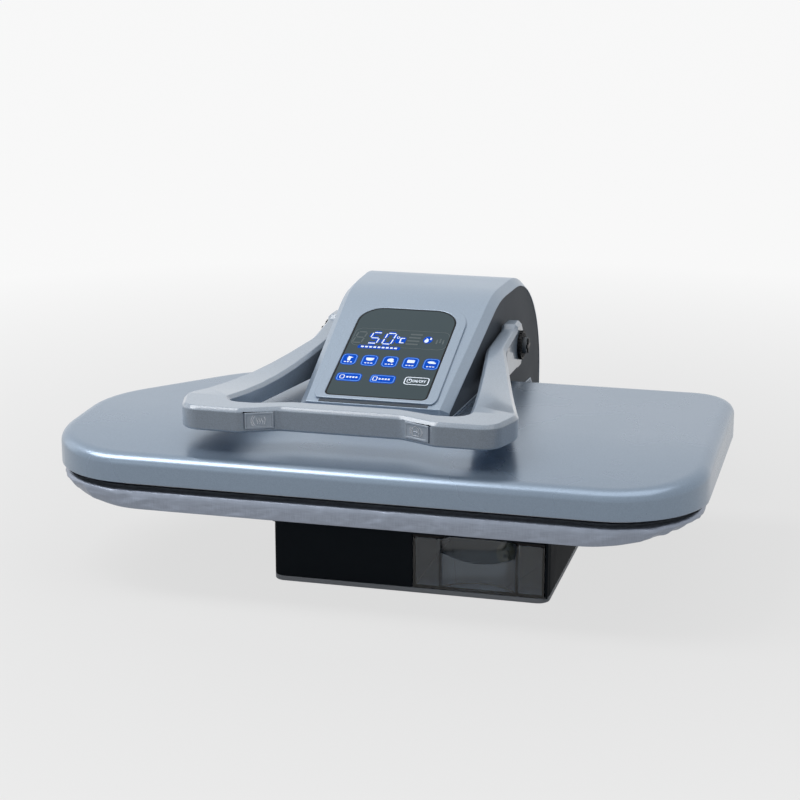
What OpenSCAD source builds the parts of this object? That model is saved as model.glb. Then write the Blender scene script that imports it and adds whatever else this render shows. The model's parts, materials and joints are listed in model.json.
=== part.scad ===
// Steam ironing press: a padded board on a base, and a heated plate on a hinged head with a lever handle.
// Millimetres. X runs along the board, the front is at -Y and the floor is at Z = 0.

/* [Plate] */
// Length of the plate's cover
plate_l = 649; // [620:1:700]
// Depth of the plate's cover, front to rear
plate_w = 356; // [340:2:380]
// Distance along the rear edge from the left end to the knee of the slanted edge
knee_in = 140; // [120:5:170]
// Distance from the rear edge to where the slanted edge meets the left end
nose_in = 168; // [150:4:184]
// Rounding of the knee
knee_r = 180; // [140:5:200]
// Rounding where the slanted edge meets the left end
nose_r = 120; // [80:5:140]
// Rounding of the cover's front left corner
front_left_r = 94; // [80:2:104]
// Rounding of the cover's front right corner
front_right_r = 92; // [70:2:110]
// Rounding of the cover's rear right corner
rear_right_r = 46; // [40:2:70]
// Height of the cover's upright skirt
skirt_h = 24; // [21:1:30]
// Rise of the rounded shoulder above the skirt
shoulder_h = 12; // [9:1:14]
// Run of the rounded shoulder, seen from above
shoulder_in = 13; // [9:1:16]
// Wall of the cover
cover_wall = 2.5; // [1.5:0.1:3]
// Thickness of the heated plate
sole_t = 10; // [8:0.5:12]
// Distance from the cover's outside to the heated plate's edge
sole_in = 12; // [10:0.5:16]
// How far the heated plate hangs below the cover's edge
sole_drop = 4; // [2:0.5:6]
// Bore of the steam holes
steam_hole_d = 4; // [2:0.5:6]
// Spacing of the steam holes
steam_hole_step = 52; // [46:2:60]
// Diameter of the tubular heating element
element_d = 8; // [6:0.5:10]
// Distance between the two runs of the heating element
element_span = 200; // [180:5:210]
// Radius of the steam manifold
manifold_r = 34; // [26:1:38]
// Height of the steam manifold
manifold_h = 15; // [12:1:16]
// Radius of the bosses that carry the heated plate
boss_r = 11; // [9:0.5:13]
// Distance from the heated plate up to the heat shield
shield_lift = 18; // [17:0.5:19]
// Thickness of the heat shield
shield_t = 1.5; // [0.8:0.1:2]

/* [Board] */
// Thickness of the foam pad
pad_t = 9.5; // [8:0.5:12]
// Distance from the cover's outline to the outside of the cloth
board_in = 5; // [4:0.5:8]
// Thickness of the cloth
cloth_t = 1.2; // [0.8:0.1:1.6]
// Length of the cloth skirt below the pressing face
skirt_drop = 22.5; // [18:0.5:26]
// How far the hem is drawn up at the two ends of the board
hem_rise = 13; // [6:0.5:13]
// Length of each end where the hem is drawn up
hem_run = 140; // [80:5:160]
// Depth of the gathers along the hem
gather = 1.2; // [0.5:0.1:1.4]
// Number of gathers along the hem
gather_count = 22; // [16:1:30]
// Height of the pad's underside above the base
pan_h = 20; // [18:1:24]
// Distance from the cloth's outline to the pan
pan_in = 24; // [20:1:30]
// Thickness of the pan
pan_t = 3; // [2:0.1:4]

/* [Base] */
// Width of the base
base_w = 277; // [266:1:290]
// Depth of the base
base_d = 440; // [430:2:446]
// Sideways offset of the base from the middle of the board
base_x = 38; // [30:0.5:46]
// Setback of the base from the front of the plate
base_back = 66; // [60:1:70]
// Height of the housing
housing_h = 69; // [66:1:76]
// Wall of the housing
housing_wall = 3; // [2:0.5:4]
// Rounding of the base's upright edges
base_r = 12; // [10:1:16]
// How far the housing's top rim stands out
lip = 6; // [4:0.5:8]
// Height of the housing's top rim
lip_h = 12; // [8:0.5:12.5]
// Height of the lower tray
tray_h = 5; // [4:0.5:8]
// Height of the feet
foot_h = 3; // [2:0.5:6]
// Radius of the feet
foot_r = 13; // [10:0.5:16]
// Distance of the feet and tray screws from the base's sides
foot_in = 26; // [24:1:34]
// Radius of the tray screws
screw_r = 2; // [1.5:0.1:2.5]

/* [Tank] */
// Width of the water tank
tank_w = 130; // [118:1:136]
// Depth of the water tank
tank_d = 150; // [130:2:170]
// Height of the water tank with its lid
tank_h = 55; // [50:1:57]
// Wall of the tank
tank_wall = 2.5; // [1.5:0.1:3]
// Radius of the hollow grip in the tank's front
scoop_r = 47; // [42:1:54]
// Depth of the hollow grip
scoop_d = 20; // [14:1:24]
// Height of the grip's front lip at its lowest point
grip_lip_h = 30; // [24:1:36]
// Dip of the lip's edge between its ends and its middle
grip_lip_dip = 9; // [6:0.5:12]
// Gap between the tank and its bay
tank_gap = 0.6; // [0.4:0.1:1.5]
// Outer radius of the water valve
valve_r = 6; // [5:0.5:8]

/* [Head] */
// Sideways offset of the head from the middle of the board
head_x = -23.5; // [-30:0.5:-18]
// Distance from the plate's rear edge to the back of the hood
rear_reach = 210; // [204:2:220]
// Radius of the hood's rounded back
hood_r = 130; // [124:1:134]
// Height of the hood above the cover
hood_rise = 92; // [88:1:98]
// Height of the hood's rear edge above the base
tail_up = 5; // [4:0.5:8]
// Length of the slope between the hood's lower edge and its rear edge
tail_run = 28; // [26:1:32]
// Distance from the plate's front edge to the hood's front
hood_back = 160; // [154:1:168]
// Slope of the hood's front, in degrees
hood_slope = 21; // [20:0.2:22]
// Height of the hood's front edge above the cover
hood_nose = 14; // [12:0.5:16]
// Radius of the bend between the hood's front and its top
brow_r = 150; // [120:1:158]
// Gap between the hood's sides and the handle's ends
arm_gap = 1.7; // [1.2:0.1:2.5]
// Widening of each side of the hood towards the back, in degrees
hood_taper = 2.6; // [2.2:0.05:2.8]
// Bevel along the hood's side edges
hood_bevel = 8; // [5:0.5:9]
// Wall of the hood
hood_wall = 4; // [3.5:0.1:5]
// Depth of the recess for the side panels
panel_recess = 2; // [1.2:0.1:2.4]
// Thickness of the side panels
panel_t = 1.4; // [0.8:0.1:1.8]
// Width of the glass control panel
glass_w = 107; // [100:1:110]
// Length of the glass control panel along the slope
glass_l = 163; // [156:1:170]
// Distance from the hood's front edge to the glass, along the slope
glass_low = 11; // [9:0.5:14]
// Thickness of the glass
glass_t = 2.4; // [1.6:0.2:3]
// Rounding of the glass's upper corners
glass_top_r = 26; // [16:1:32]
// Rounding of the glass's lower corners
glass_low_r = 6; // [4:0.5:10]
// Width of the bezel round the glass
bezel_w = 11; // [8:0.5:13]
// How far the bezel stands up from the hood
bezel_up = 2.2; // [1.6:0.1:3]

/* [Arm and hinge] */
// Half width of the arm frame, outside
frame_half = 51; // [46:1:54]
// Sheet thickness of the arm frame
frame_t = 5; // [4:0.5:6]
// Distance from the back of the hood to the hinge axis
hinge_in = 90; // [86:1:94]
// Height of the hinge axis above the base
hinge_up = 16; // [15.5:0.5:18]
// Radius of the hinge pin
pin_r = 7; // [6:0.5:8]
// Radius of the eyes round the hinge pin
eye_r = 14; // [12.5:0.5:15]
// Thickness of the bracket's ears
ear_t = 6; // [5:0.5:7]
// Thickness of the hinge washers
washer_t = 1.6; // [1:0.1:2]
// Radius of the bolts in the frame and the bracket
bolt_r = 3; // [2.5:0.25:3.5]

/* [Handle] */
// Distance from the plate's rear edge to the handle's pivots
pivot_back = 20; // [17:0.5:23]
// Height of the handle's pivots above the cover
pivot_up = 33; // [30:0.5:35]
// Radius of the handle's shaft
shaft_r = 6; // [5:0.5:7]
// Half width of the handle at its pivots, outside
arm_half = 107.5; // [107:0.5:112]
// Thickness of the handle at its pivots
arm_t = 17; // [15:0.5:18]
// Half height of the handle's eight-sided ends
arm_end_r = 25; // [22:1:27]
// Length of the handle's straight ends ahead of the pivots
arm_straight = 73; // [66:1:80]
// How far the arms dip between the grip bar and their ends
arm_dip = 10; // [6:0.5:12]
// Half width of the grip bar
grip_half = 168; // [160:1:176]
// Setback of the grip bar from the front of the plate
grip_back = 28; // [24:1:34]
// Height of the gap between the cover and the grip bar
grip_lift = 14; // [11:1:18]
// Height of the grip bar
grip_h = 24; // [22:1:28]
// Depth of the grip bar
grip_d = 30; // [27:1:34]
// Setback of the grip bar's middle
jog = 16; // [12:1:20]
// Half length of the set-back middle
jog_in = 60; // [54:1:64]
// Half distance at which the bar is fully forward again
jog_out = 96; // [92:1:104]
// Width of the steam buttons
button_w = 28; // [22:1:30]
// Height of the steam buttons
button_h = 16; // [12:0.5:17]
// Thickness of the steam buttons
button_t = 6.5; // [5:0.5:7]
// How far the steam buttons stand out
button_up = 1.5; // [1:0.1:2.5]
// Travel of the steam buttons
button_travel = 2; // [1:0.1:2.5]

/* [Clearances] */
// Radial play of the turning fits
run_play = 0.05; // [0.02:0.01:0.1]
// Gap between pieces of different bodies
free_gap = 0.5; // [0.3:0.05:0.6]
// Gap between pieces that sit in each other
seat_gap = 0.3; // [0.2:0.05:0.4]

/* [Hidden] */
$fn = 64;
eps = 0.5;
arc_steps = 10;
arm_steps = 8;

// Heights from the floor up
housing_z = foot_h + tray_h;
base_top = housing_z + housing_h;
pan_top = base_top + pan_h;
pad_z = pan_top + seat_gap;
board_top = pad_z + pad_t + free_gap + cloth_t;
sole_z = board_top + free_gap;
sole_top = sole_z + sole_t;
cover_z = sole_z + sole_drop;
shoulder_z = cover_z + skirt_h;
cover_top = shoulder_z + shoulder_h;
cover_under = cover_top - cover_wall;
shield_z = sole_top + shield_lift;
hem_z = board_top - skirt_drop;

// Places from front to rear
plate_y = -rear_reach / 2;
plate_front = plate_y - plate_w / 2;
plate_rear = plate_y + plate_w / 2;
base_front = plate_front + base_back;
base_rear = base_front + base_d;
base_y = (base_front + base_rear) / 2;
base_left = base_x - base_w / 2;
base_right = base_x + base_w / 2;

// Outline of the plate: each corner has its vertex, the directions of the two edges' normals and its rounding
slant_a = 180 - atan2(knee_in, nose_in);
corners = [
    [[-plate_l / 2, plate_front], 180, 270, front_left_r],
    [[plate_l / 2, plate_front], 270, 360, front_right_r],
    [[plate_l / 2, plate_rear], 360, 450, rear_right_r],
    [[-plate_l / 2 + knee_in, plate_rear], 450, 360 + slant_a, knee_r],
    [[-plate_l / 2, plate_rear - nose_in], 360 + slant_a, 540, nose_r]
];
function unit(a) = [cos(a), sin(a)];
function centre(c) = c[0] - c[3] * (unit(c[1]) + unit(c[2])) / (1 + cos(c[2] - c[1]));
function arc_pts(c, d, n) = [for (i = [0:n]) centre(c) + (c[3] - d) * unit(c[1] + (c[2] - c[1]) * i / n)];
function outline(d) = [for (c = corners) each arc_pts(c, d, arc_steps)];

// Places of the steam holes, kept clear of the slanted end and of the bosses
hole_edge = 46;
hole_cols = floor((plate_l / 2 - hole_edge) / steam_hole_step);
hole_rows = floor((plate_w / 2 - hole_edge) / steam_hole_step);
slant_run = knee_in / nose_in;
function hole_left(y) = -plate_l / 2 + hole_edge + max(0, y - plate_rear + nose_in) * slant_run + hole_edge;

// Hood
hood_front = plate_front + hood_back;
hood_rear = plate_rear + rear_reach;
hood_y = hood_rear - hood_r;
hood_top = cover_top + hood_rise;
hood_z = hood_top - hood_r;
hood_foot = cover_top + free_gap;
hood_step_y = plate_rear + 14;
nose_z = cover_top + hood_nose;
brow_z = hood_top - brow_r;
brow_y = hood_front + (brow_z + brow_r / cos(hood_slope) - nose_z) / tan(hood_slope);
arm_in = arm_half - arm_t;
arm_rear = plate_rear + pivot_back + arm_end_r + 1;
hood_half = arm_in - arm_gap - (arm_rear - hood_front) * tan(hood_taper);
function hood_w(y) = hood_half + (y - hood_front) * tan(hood_taper);

// Hinge, handle shaft and frame
hinge_y = hood_rear - hinge_in;
hinge_z = base_top + hinge_up;
hood_low = hinge_z + hinge_up;
hood_tail = base_top + tail_up;
tail_y = base_rear + lip;
pivot_y = plate_rear + pivot_back;
pivot_z = cover_top + pivot_up;
ear_in = frame_half + seat_gap + washer_t;
ear_half = ear_in + ear_t;
pin_head_t = 3;
pin_head_r = pin_r + 4;
foot_front = hood_front + 34;
foot_rear = plate_rear - 8;
boss_x = frame_half - frame_t - boss_r - 4;
boss_front = foot_front + 26;
boss_rear = foot_rear - 26;
boss_pts = [for (sx = [-1, 1], y = [boss_front, boss_rear]) [head_x + sx * boss_x, y]];
boss_neck = boss_r - 3;
head_bolt_r = bolt_r * 1.8;
head_bolt_t = bolt_r * 1.3;

// Handle
grip_front = plate_front + grip_back;
grip_z = cover_top + grip_lift;
splay_y = pivot_y - arm_straight;
jog_a = atan2(jog, jog_out - jog_in);
jog_x = (jog_in + jog_out) / 2;
pocket_d = button_t - button_up + button_travel + 1;
switch_d = 8;
switch_w = 12;
washer_r = 16;
washer_up = 4;
bolt_head_r = 9;
bolt_head_t = 4.5;
cap_t = 2;
cap_w = 4;

// Tank and bay
bay_right = base_right - housing_wall;
tank_right = bay_right - tank_gap;
tank_left = tank_right - tank_w;
bay_left = tank_left - tank_gap;
tank_z = housing_z + seat_gap;
bay_top = tank_z + tank_h + tank_gap;
tank_rear = base_front + tank_d;
valve_flange = 4;
bay_rear = tank_rear + tank_gap + valve_flange;
tank_x = (tank_left + tank_right) / 2;
lid_t = 3;
valve_z = tank_z + 16;
pump_y = bay_rear + housing_wall + 30;
pump_w = 44;
pump_d = 56;
pump_h = 40;

// Screws of the tray and the pan
screw_left = base_left + foot_in;
screw_right = base_right - foot_in;
screw_pts = [[screw_left, base_front + foot_in], [screw_left, base_rear - foot_in],
    [screw_right, base_rear - foot_in], [screw_right, bay_rear + housing_wall + foot_in]];
foot_pts = [for (sx = [-1, 1], y = [base_front + 2.2 * foot_in, base_rear - 2.2 * foot_in])
    [base_x + sx * (base_w / 2 - foot_in), y]];
pan_pts = [for (sx = [-1, 1], y = [base_front + 2.2 * foot_in, plate_rear - 2.8 * foot_in])
    [base_x + sx * (base_w / 2 - 1.6 * foot_in), y]];
post_r = 3 * screw_r;

// A plate with the cover's outline, inset by d
module slab(d, z, h) {
    translate([0, 0, z])
        linear_extrude(h)
            polygon(outline(d));
}

// A box from one corner to the other
module box(a, b) {
    translate(a)
        cube(b - a);
}

// A rod along X, at a place seen from the side
module rod_x(x0, x1, y, z, r) {
    translate([x0, y, z])
        rotate([0, 90, 0])
            cylinder(h = x1 - x0, r = r);
}

// A rod along Y, at a place seen from the front
module rod_y(y0, y1, x, z, r) {
    translate([x, y0, z])
        rotate([-90, 0, 0])
            cylinder(h = y1 - y0, r = r);
}

// An upright rod
module rod_z(p, z0, z1, r) {
    translate([p[0], p[1], z0])
        cylinder(h = z1 - z0, r = r);
}

// A side view, drawn in Y and Z, given thickness along X
module along_x(x0, x1) {
    translate([x0, 0, 0])
        rotate([90, 0, 90])
            linear_extrude(x1 - x0)
                children();
}

// A rounded rectangle seen from above
module round_rect(x0, x1, y0, y1, r) {
    translate([x0 + r, y0])
        square([x1 - x0 - 2 * r, y1 - y0]);
    translate([x0, y0 + r])
        square([x1 - x0, y1 - y0 - 2 * r]);
    for (x = [x0 + r, x1 - r], y = [y0 + r, y1 - r])
        translate([x, y])
            circle(r);
}

// A solid with the base's outline, inset by d
module base_block(d, z0, z1) {
    translate([0, 0, z0])
        linear_extrude(z1 - z0)
            round_rect(base_left + d, base_right - d, base_front + d, base_rear - d, base_r - d);
}

module base_tray() {
    color("dimgray")
        difference() {
            base_block(0, foot_h, housing_z);
            for (p = screw_pts)
                rod_z(p, foot_h - 1, housing_z + 1, screw_r + run_play);
            for (p = screw_pts)
                rod_z(p, foot_h - 1, foot_h + screw_r, 2 * screw_r + seat_gap);
        }
}

module base_housing() {
    color([0.08, 0.08, 0.09])
        difference() {
            union() {
                difference() {
                    union() {
                        base_block(0, housing_z, base_top);
                        base_block(-lip, base_top - lip_h, base_top);
                    }
                    base_block(housing_wall, housing_z - 1, base_top - housing_wall);
                }
                box([bay_left - housing_wall, base_front + eps, housing_z],
                    [base_right - eps, bay_rear + housing_wall, bay_top + housing_wall]);
                for (p = screw_pts)
                    rod_z(p, housing_z, base_top - eps, post_r);
            }
            box([bay_left, base_front - 1, housing_z - 1], [bay_right, bay_rear, bay_top]);
            for (p = screw_pts)
                rod_z(p, housing_z - 1, housing_z + 8 * screw_r + 1, screw_r + run_play);
            for (p = pan_pts)
                rod_z(p, base_top - 2 * housing_wall, base_top + 1, bolt_r + run_play);
            for (p = bracket_pts())
                rod_z(p, base_top - 2 * housing_wall, base_top + 1, bolt_r + run_play);
            rod_y(bay_rear - 1, bay_rear + housing_wall + 1, tank_x, valve_z, valve_r + run_play);
            rod_y(base_rear - housing_wall - 1, base_rear + 1, gland_x, gland_z, gland_r + run_play);
        }
}

gland_r = 8;
gland_x = base_x + base_w / 4;
gland_z = housing_z + 22;

module cord_gland() {
    color("black")
        difference() {
            union() {
                rod_y(base_rear - housing_wall - 5, base_rear + 8, gland_x, gland_z, gland_r);
                rod_y(base_rear, base_rear + 2.5, gland_x, gland_z, gland_r + 4);
            }
            rod_y(base_rear - housing_wall - 6, base_rear + 9, gland_x, gland_z, gland_r / 2);
        }
}

module base_feet() {
    color([0.12, 0.12, 0.12])
        for (p = foot_pts)
            rod_z(p, 0, foot_h, foot_r);
}

module tray_screws() {
    color("silver")
        for (p = screw_pts) {
            rod_z(p, foot_h, foot_h + screw_r, 2 * screw_r);
            rod_z(p, foot_h + eps, housing_z + 8 * screw_r, screw_r);
        }
}

module water_pump() {
    color("gray") {
        box([tank_x - pump_w / 2, pump_y, housing_z], [tank_x + pump_w / 2, pump_y + pump_d, housing_z + pump_h]);
        rod_y(pump_y + pump_d - eps, pump_y + pump_d + 46, tank_x, housing_z + pump_h / 2, pump_h / 2 - 2);
        rod_y(bay_rear + housing_wall + 14, pump_y + eps, tank_x, valve_z, valve_r);
    }
}

module tank_valve() {
    color("goldenrod")
        difference() {
            union() {
                rod_y(bay_rear - valve_flange + 1, bay_rear, tank_x, valve_z, 2 * valve_r);
                rod_y(tank_rear - tank_wall - 4, bay_rear + housing_wall + 14, tank_x, valve_z, valve_r);
            }
            rod_y(tank_rear - tank_wall - 5, bay_rear + housing_wall + 15, tank_x, valve_z, valve_r / 2);
        }
}

board_left = base_left + housing_wall + 14;
board_w = 96;
board_front = base_front + 60;
board_d = 150;
board_lift = 9;
board_t = 1.6;

module power_board() {
    color("darkgreen") {
        translate([board_left, board_front, housing_z + board_lift])
            cube([board_w, board_d, board_t]);
        for (x = [8, board_w - 8], y = [8, board_d - 8])
            rod_z([board_left + x, board_front + y], housing_z, housing_z + board_lift + eps, 4);
    }
    color("darkslategray") {
        translate([board_left + 16, board_front + 22, housing_z + board_lift + board_t - eps])
            cube([42, 50, 32]);
        translate([board_left + 18, board_front + 92, housing_z + board_lift + board_t - eps])
            cube([26, 40, 18]);
        for (y = [40, 64])
            rod_z([board_left + 78, board_front + y], housing_z + board_lift + board_t - eps,
                housing_z + board_lift + 26, 9);
    }
}

bracket_front = hinge_y - 40;
bracket_rear = base_rear - 4;
bracket_t = 5;
bracket_half = ear_half + 22;
function bracket_pts() = [for (sx = [-1, 1], y = [bracket_front + 11, bracket_rear - 11])
    [head_x + sx * (ear_half + 11), y]];

module hinge_bracket() {
    color("slategray")
        difference() {
            union() {
                box([head_x - bracket_half, bracket_front, base_top],
                    [head_x + bracket_half, bracket_rear, base_top + bracket_t]);
                for (sx = [-1, 1]) {
                    rod_x(head_x + sx * (ear_in + ear_t / 2) - ear_t / 2,
                        head_x + sx * (ear_in + ear_t / 2) + ear_t / 2, hinge_y, hinge_z, eye_r);
                    along_x(head_x + sx * (ear_in + ear_t / 2) - ear_t / 2,
                            head_x + sx * (ear_in + ear_t / 2) + ear_t / 2)
                        polygon([[hinge_y - eye_r - 10, base_top + 1], [hinge_y + eye_r + 4, base_top + 1],
                            [hinge_y + eye_r, hinge_z], [hinge_y - eye_r, hinge_z]]);
                }
            }
            rod_x(head_x - ear_half - 1, head_x + ear_half + 1, hinge_y, hinge_z, pin_r + run_play);
            box([head_x - ear_in, bracket_front + 18, base_top - 1], [head_x + ear_in, bracket_rear + 1, hinge_z]);
            for (p = bracket_pts())
                rod_z(p, base_top - 1, base_top + bracket_t + 1, bolt_r + run_play);
        }
}

// A bolt that stands upright, head up
module bolt(p, seat, z0) {
    rod_z(p, seat, seat + head_bolt_t, head_bolt_r);
    rod_z(p, z0, seat + eps, bolt_r);
}

module bracket_bolts() {
    color("silver")
        for (p = bracket_pts())
            bolt(p, base_top + bracket_t, base_top - housing_wall - 1);
}

module hinge_pin() {
    color("lightgray") {
        rod_x(head_x - ear_half - pin_head_t, head_x + ear_half + pin_head_t, hinge_y, hinge_z, pin_r);
        for (sx = [-1, 1])
            rod_x(head_x + sx * (ear_half + pin_head_t / 2) - pin_head_t / 2,
                head_x + sx * (ear_half + pin_head_t / 2) + pin_head_t / 2, hinge_y, hinge_z, pin_head_r);
    }
}

module hinge_washers() {
    color("black")
        for (sx = [-1, 1])
            difference() {
                rod_x(head_x + sx * (ear_in - washer_t / 2) - washer_t / 2,
                    head_x + sx * (ear_in - washer_t / 2) + washer_t / 2, hinge_y, hinge_z, eye_r - 1);
                rod_x(head_x - ear_half, head_x + ear_half, hinge_y, hinge_z, pin_r + run_play);
            }
}

module board_pan() {
    color("gray")
        difference() {
            slab(board_in + pan_in, pan_top - pan_t, pan_t);
            for (p = pan_pts)
                rod_z(p, pan_top - pan_t - 1, pan_top + 1, bolt_r + run_play);
        }
}

module pan_posts() {
    color("dimgray")
        for (p = pan_pts)
            difference() {
                rod_z(p, base_top, pan_top - pan_t, bolt_r + 6);
                rod_z(p, base_top - 1, pan_top, bolt_r + run_play);
            }
}

// The bolts come up through the top of the housing, heads inside it
module pan_bolts() {
    color("silver")
        for (p = pan_pts) {
            rod_z(p, base_top - housing_wall - head_bolt_t, base_top - housing_wall, head_bolt_r);
            rod_z(p, base_top - housing_wall - eps, pan_top - pan_t / 3, bolt_r);
        }
}

module board_pad() {
    color("beige")
        slab(board_in + cloth_t + free_gap + gather, pad_z, pad_t);
}

// Points round the board for the cloth: place on the cover's outline and the direction outwards
cloth_step = 26;
function run_pts(a, b, n) = [for (i = [1:n - 1]) a + (b - a) * i / n];
function edge_end(c) = centre(c) + c[3] * unit(c[2]);
function edge_start(c) = centre(c) + c[3] * unit(c[1]);
function edge_count(a, b) = max(2, round(norm(b - a) / cloth_step));
cloth_arc = 6;
cloth_pts = [for (k = [0:len(corners) - 1])
    let (c = corners[k], e = corners[(k + 1) % len(corners)], a = edge_end(c), b = edge_start(e))
    each concat(
        [for (i = [0:cloth_arc]) let (g = c[1] + (c[2] - c[1]) * i / cloth_arc) [centre(c) + c[3] * unit(g), g]],
        [for (p = run_pts(a, b, edge_count(a, b))) [p, c[2]]])];
cloth_n = len(cloth_pts);
function wave(i) = gather * (1 - cos(360 * gather_count * i / cloth_n)) / 2;
function hem_at(x) = hem_z + hem_rise * (1 - cos(180 * min(1, max(0, (abs(x) - plate_l / 2 + hem_run) / hem_run)))) / 2;
function ring_pt(i, d, z) = let (p = cloth_pts[i][0] - d * unit(cloth_pts[i][1])) [p[0], p[1], z];
function ring_z(i, share) = board_top - share * (board_top - hem_at(cloth_pts[i][0][0]));
cloth_roll = 5;
// Each ring of the cloth, from the middle of the top, down the outside, up the inside and back to the middle
function cloth_ring(k, i) =
    k == 0 ? ring_pt(i, board_in + cloth_roll, board_top) :
    k == 1 ? ring_pt(i, board_in + cloth_roll / 4, board_top - cloth_roll / 4) :
    k == 2 ? ring_pt(i, board_in, board_top - cloth_roll) :
    k == 3 ? ring_pt(i, board_in + wave(i), ring_z(i, 0.7)) :
    k == 4 ? ring_pt(i, board_in + wave(i) + cloth_t / 2, ring_z(i, 1)) :
    k == 5 ? ring_pt(i, board_in + wave(i) + cloth_t * 1.2, ring_z(i, 1)) :
    k == 6 ? ring_pt(i, board_in + wave(i) + cloth_t, ring_z(i, 0.7)) :
    k == 7 ? ring_pt(i, board_in + cloth_t, board_top - cloth_roll) :
    ring_pt(i, board_in + cloth_roll / 4 + cloth_t, board_top - cloth_t);
cloth_rings = 9;
cloth_mid = [0, plate_y];

module board_cover() {
    pts = concat(
        [for (k = [0:cloth_rings - 1], i = [0:cloth_n - 1]) cloth_ring(k, i)],
        [[cloth_mid[0], cloth_mid[1], board_top], [cloth_mid[0], cloth_mid[1], board_top - cloth_t]]);
    top = cloth_rings * cloth_n;
    last = (cloth_rings - 1) * cloth_n;
    sides = [for (k = [0:cloth_rings - 2], i = [0:cloth_n - 1])
        let (a = k * cloth_n + i, b = k * cloth_n + (i + 1) % cloth_n)
        each [[a, b, b + cloth_n], [a, b + cloth_n, a + cloth_n]]];
    upper = [for (i = [0:cloth_n - 1]) [top, (i + 1) % cloth_n, i]];
    under = [for (i = [0:cloth_n - 1]) [top + 1, last + i, last + (i + 1) % cloth_n]];
    color("silver")
        polyhedron(pts, concat(sides, upper, under));
}

scoop_half = sqrt(scoop_r * scoop_r - (scoop_r - scoop_d) * (scoop_r - scoop_d));
lip_arc_r = (scoop_half * scoop_half + grip_lip_dip * grip_lip_dip) / (2 * grip_lip_dip);

module tank_scoop(z0, grow) {
    rod_z([tank_x, base_front + scoop_d - scoop_r], z0, tank_z + tank_h + 1, scoop_r + grow);
}

// The grip's front lip: a wall whose upper edge dips in the middle
module grip_lip() {
    difference() {
        box([tank_x - scoop_half, base_front, tank_z], [tank_x + scoop_half, base_front + tank_wall, tank_z + tank_h / 1.2]);
        rod_y(base_front - 1, base_front + tank_wall + 1, tank_x, tank_z + grip_lip_h + lip_arc_r, lip_arc_r);
    }
}

module water_tank() {
    color([0.8, 0.9, 0.95])
        difference() {
            union() {
                difference() {
                    box([tank_left, base_front, tank_z], [tank_right, tank_rear, tank_z + tank_h - lid_t]);
                    difference() {
                        box([tank_left + tank_wall, base_front + tank_wall, tank_z + tank_wall],
                            [tank_right - tank_wall, tank_rear - tank_wall, tank_z + tank_h]);
                        tank_scoop(tank_z - 1, tank_wall);
                    }
                    tank_scoop(tank_z + tank_wall, 0);
                }
                grip_lip();
            }
            rod_y(tank_rear - tank_wall - 1, tank_rear + 1, tank_x, valve_z, valve_r + seat_gap);
        }
}

filler_w = 60;
filler_d = 40;
filler_in = 20;

module tank_lid() {
    color([0.2, 0.2, 0.22])
        difference() {
            union() {
                box([tank_left, base_front, tank_z + tank_h - lid_t], [tank_right, tank_rear, tank_z + tank_h]);
                box([tank_left + tank_wall + seat_gap, base_front + scoop_d + 2 * tank_wall, tank_z + tank_h - 2 * lid_t],
                    [tank_right - tank_wall - seat_gap, tank_rear - tank_wall - seat_gap, tank_z + tank_h - eps]);
            }
            tank_scoop(tank_z, 0);
            box([tank_x - filler_w / 2, tank_rear - filler_in - filler_d, tank_z],
                [tank_x + filler_w / 2, tank_rear - filler_in, tank_z + tank_h + 1]);
        }
}

module heating_plate() {
    color("lightsteelblue")
        difference() {
            union() {
                slab(sole_in, sole_z, sole_t);
                for (p = boss_pts) {
                    rod_z(p, sole_top - eps, shield_z, boss_r);
                    rod_z(p, shield_z - eps, cover_under, boss_neck);
                }
            }
            for (p = boss_pts)
                rod_z(p, sole_top, cover_top, bolt_r + run_play);
            for (ix = [-hole_cols:hole_cols], iy = [-hole_rows:hole_rows])
                let (x = (ix + 0.5) * steam_hole_step, y = plate_y + (iy + 0.5) * steam_hole_step)
                    if (x > hole_left(y) && x < plate_l / 2 - hole_edge && abs(y - plate_y) < plate_w / 2 - hole_edge)
                        rod_z([x, y], sole_z - 1, sole_top + 1, steam_hole_d / 2);
        }
}

module plate_seal() {
    color("black")
        difference() {
            slab(cover_wall + seat_gap, cover_z + 1, sole_top - cover_z - 1);
            slab(sole_in - seat_gap, cover_z, sole_t + 1);
        }
}

element_x0 = -plate_l / 2 + knee_in + 60;
element_x1 = plate_l / 2 - element_span / 2 - 50;
element_z = sole_top + element_d / 2;

module heating_element() {
    color("dimgray") {
        for (sy = [-1, 1])
            rod_x(element_x0, element_x1, plate_y + sy * element_span / 2, element_z, element_d / 2);
        translate([element_x1, plate_y, element_z])
            rotate([0, 0, -90])
                rotate_extrude(angle = 180)
                    translate([element_span / 2, 0])
                        circle(element_d / 2);
    }
}

manifold_x = head_x + frame_half + 2 * manifold_r;
manifold_wall = 3;

module steam_manifold() {
    color("silver")
        difference() {
            rod_z([manifold_x, plate_y], sole_top, sole_top + manifold_h, manifold_r);
            rod_z([manifold_x, plate_y], sole_top - 1, sole_top + manifold_h - manifold_wall, manifold_r - manifold_wall);
            rod_z([manifold_x, plate_y], sole_top, sole_top + manifold_h + 1, valve_r);
        }
}

module heat_shield() {
    color("gainsboro")
        difference() {
            slab(shoulder_in + 8, shield_z, shield_t);
            for (p = boss_pts)
                rod_z(p, shield_z - 1, shield_z + shield_t + 1, boss_neck + seat_gap);
        }
}

// The shoulder is drawn as two slopes that follow its curve
shoulder_mid_in = shoulder_in * 0.3;
shoulder_mid_h = shoulder_h * 0.68;
thin = 0.1;

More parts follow.
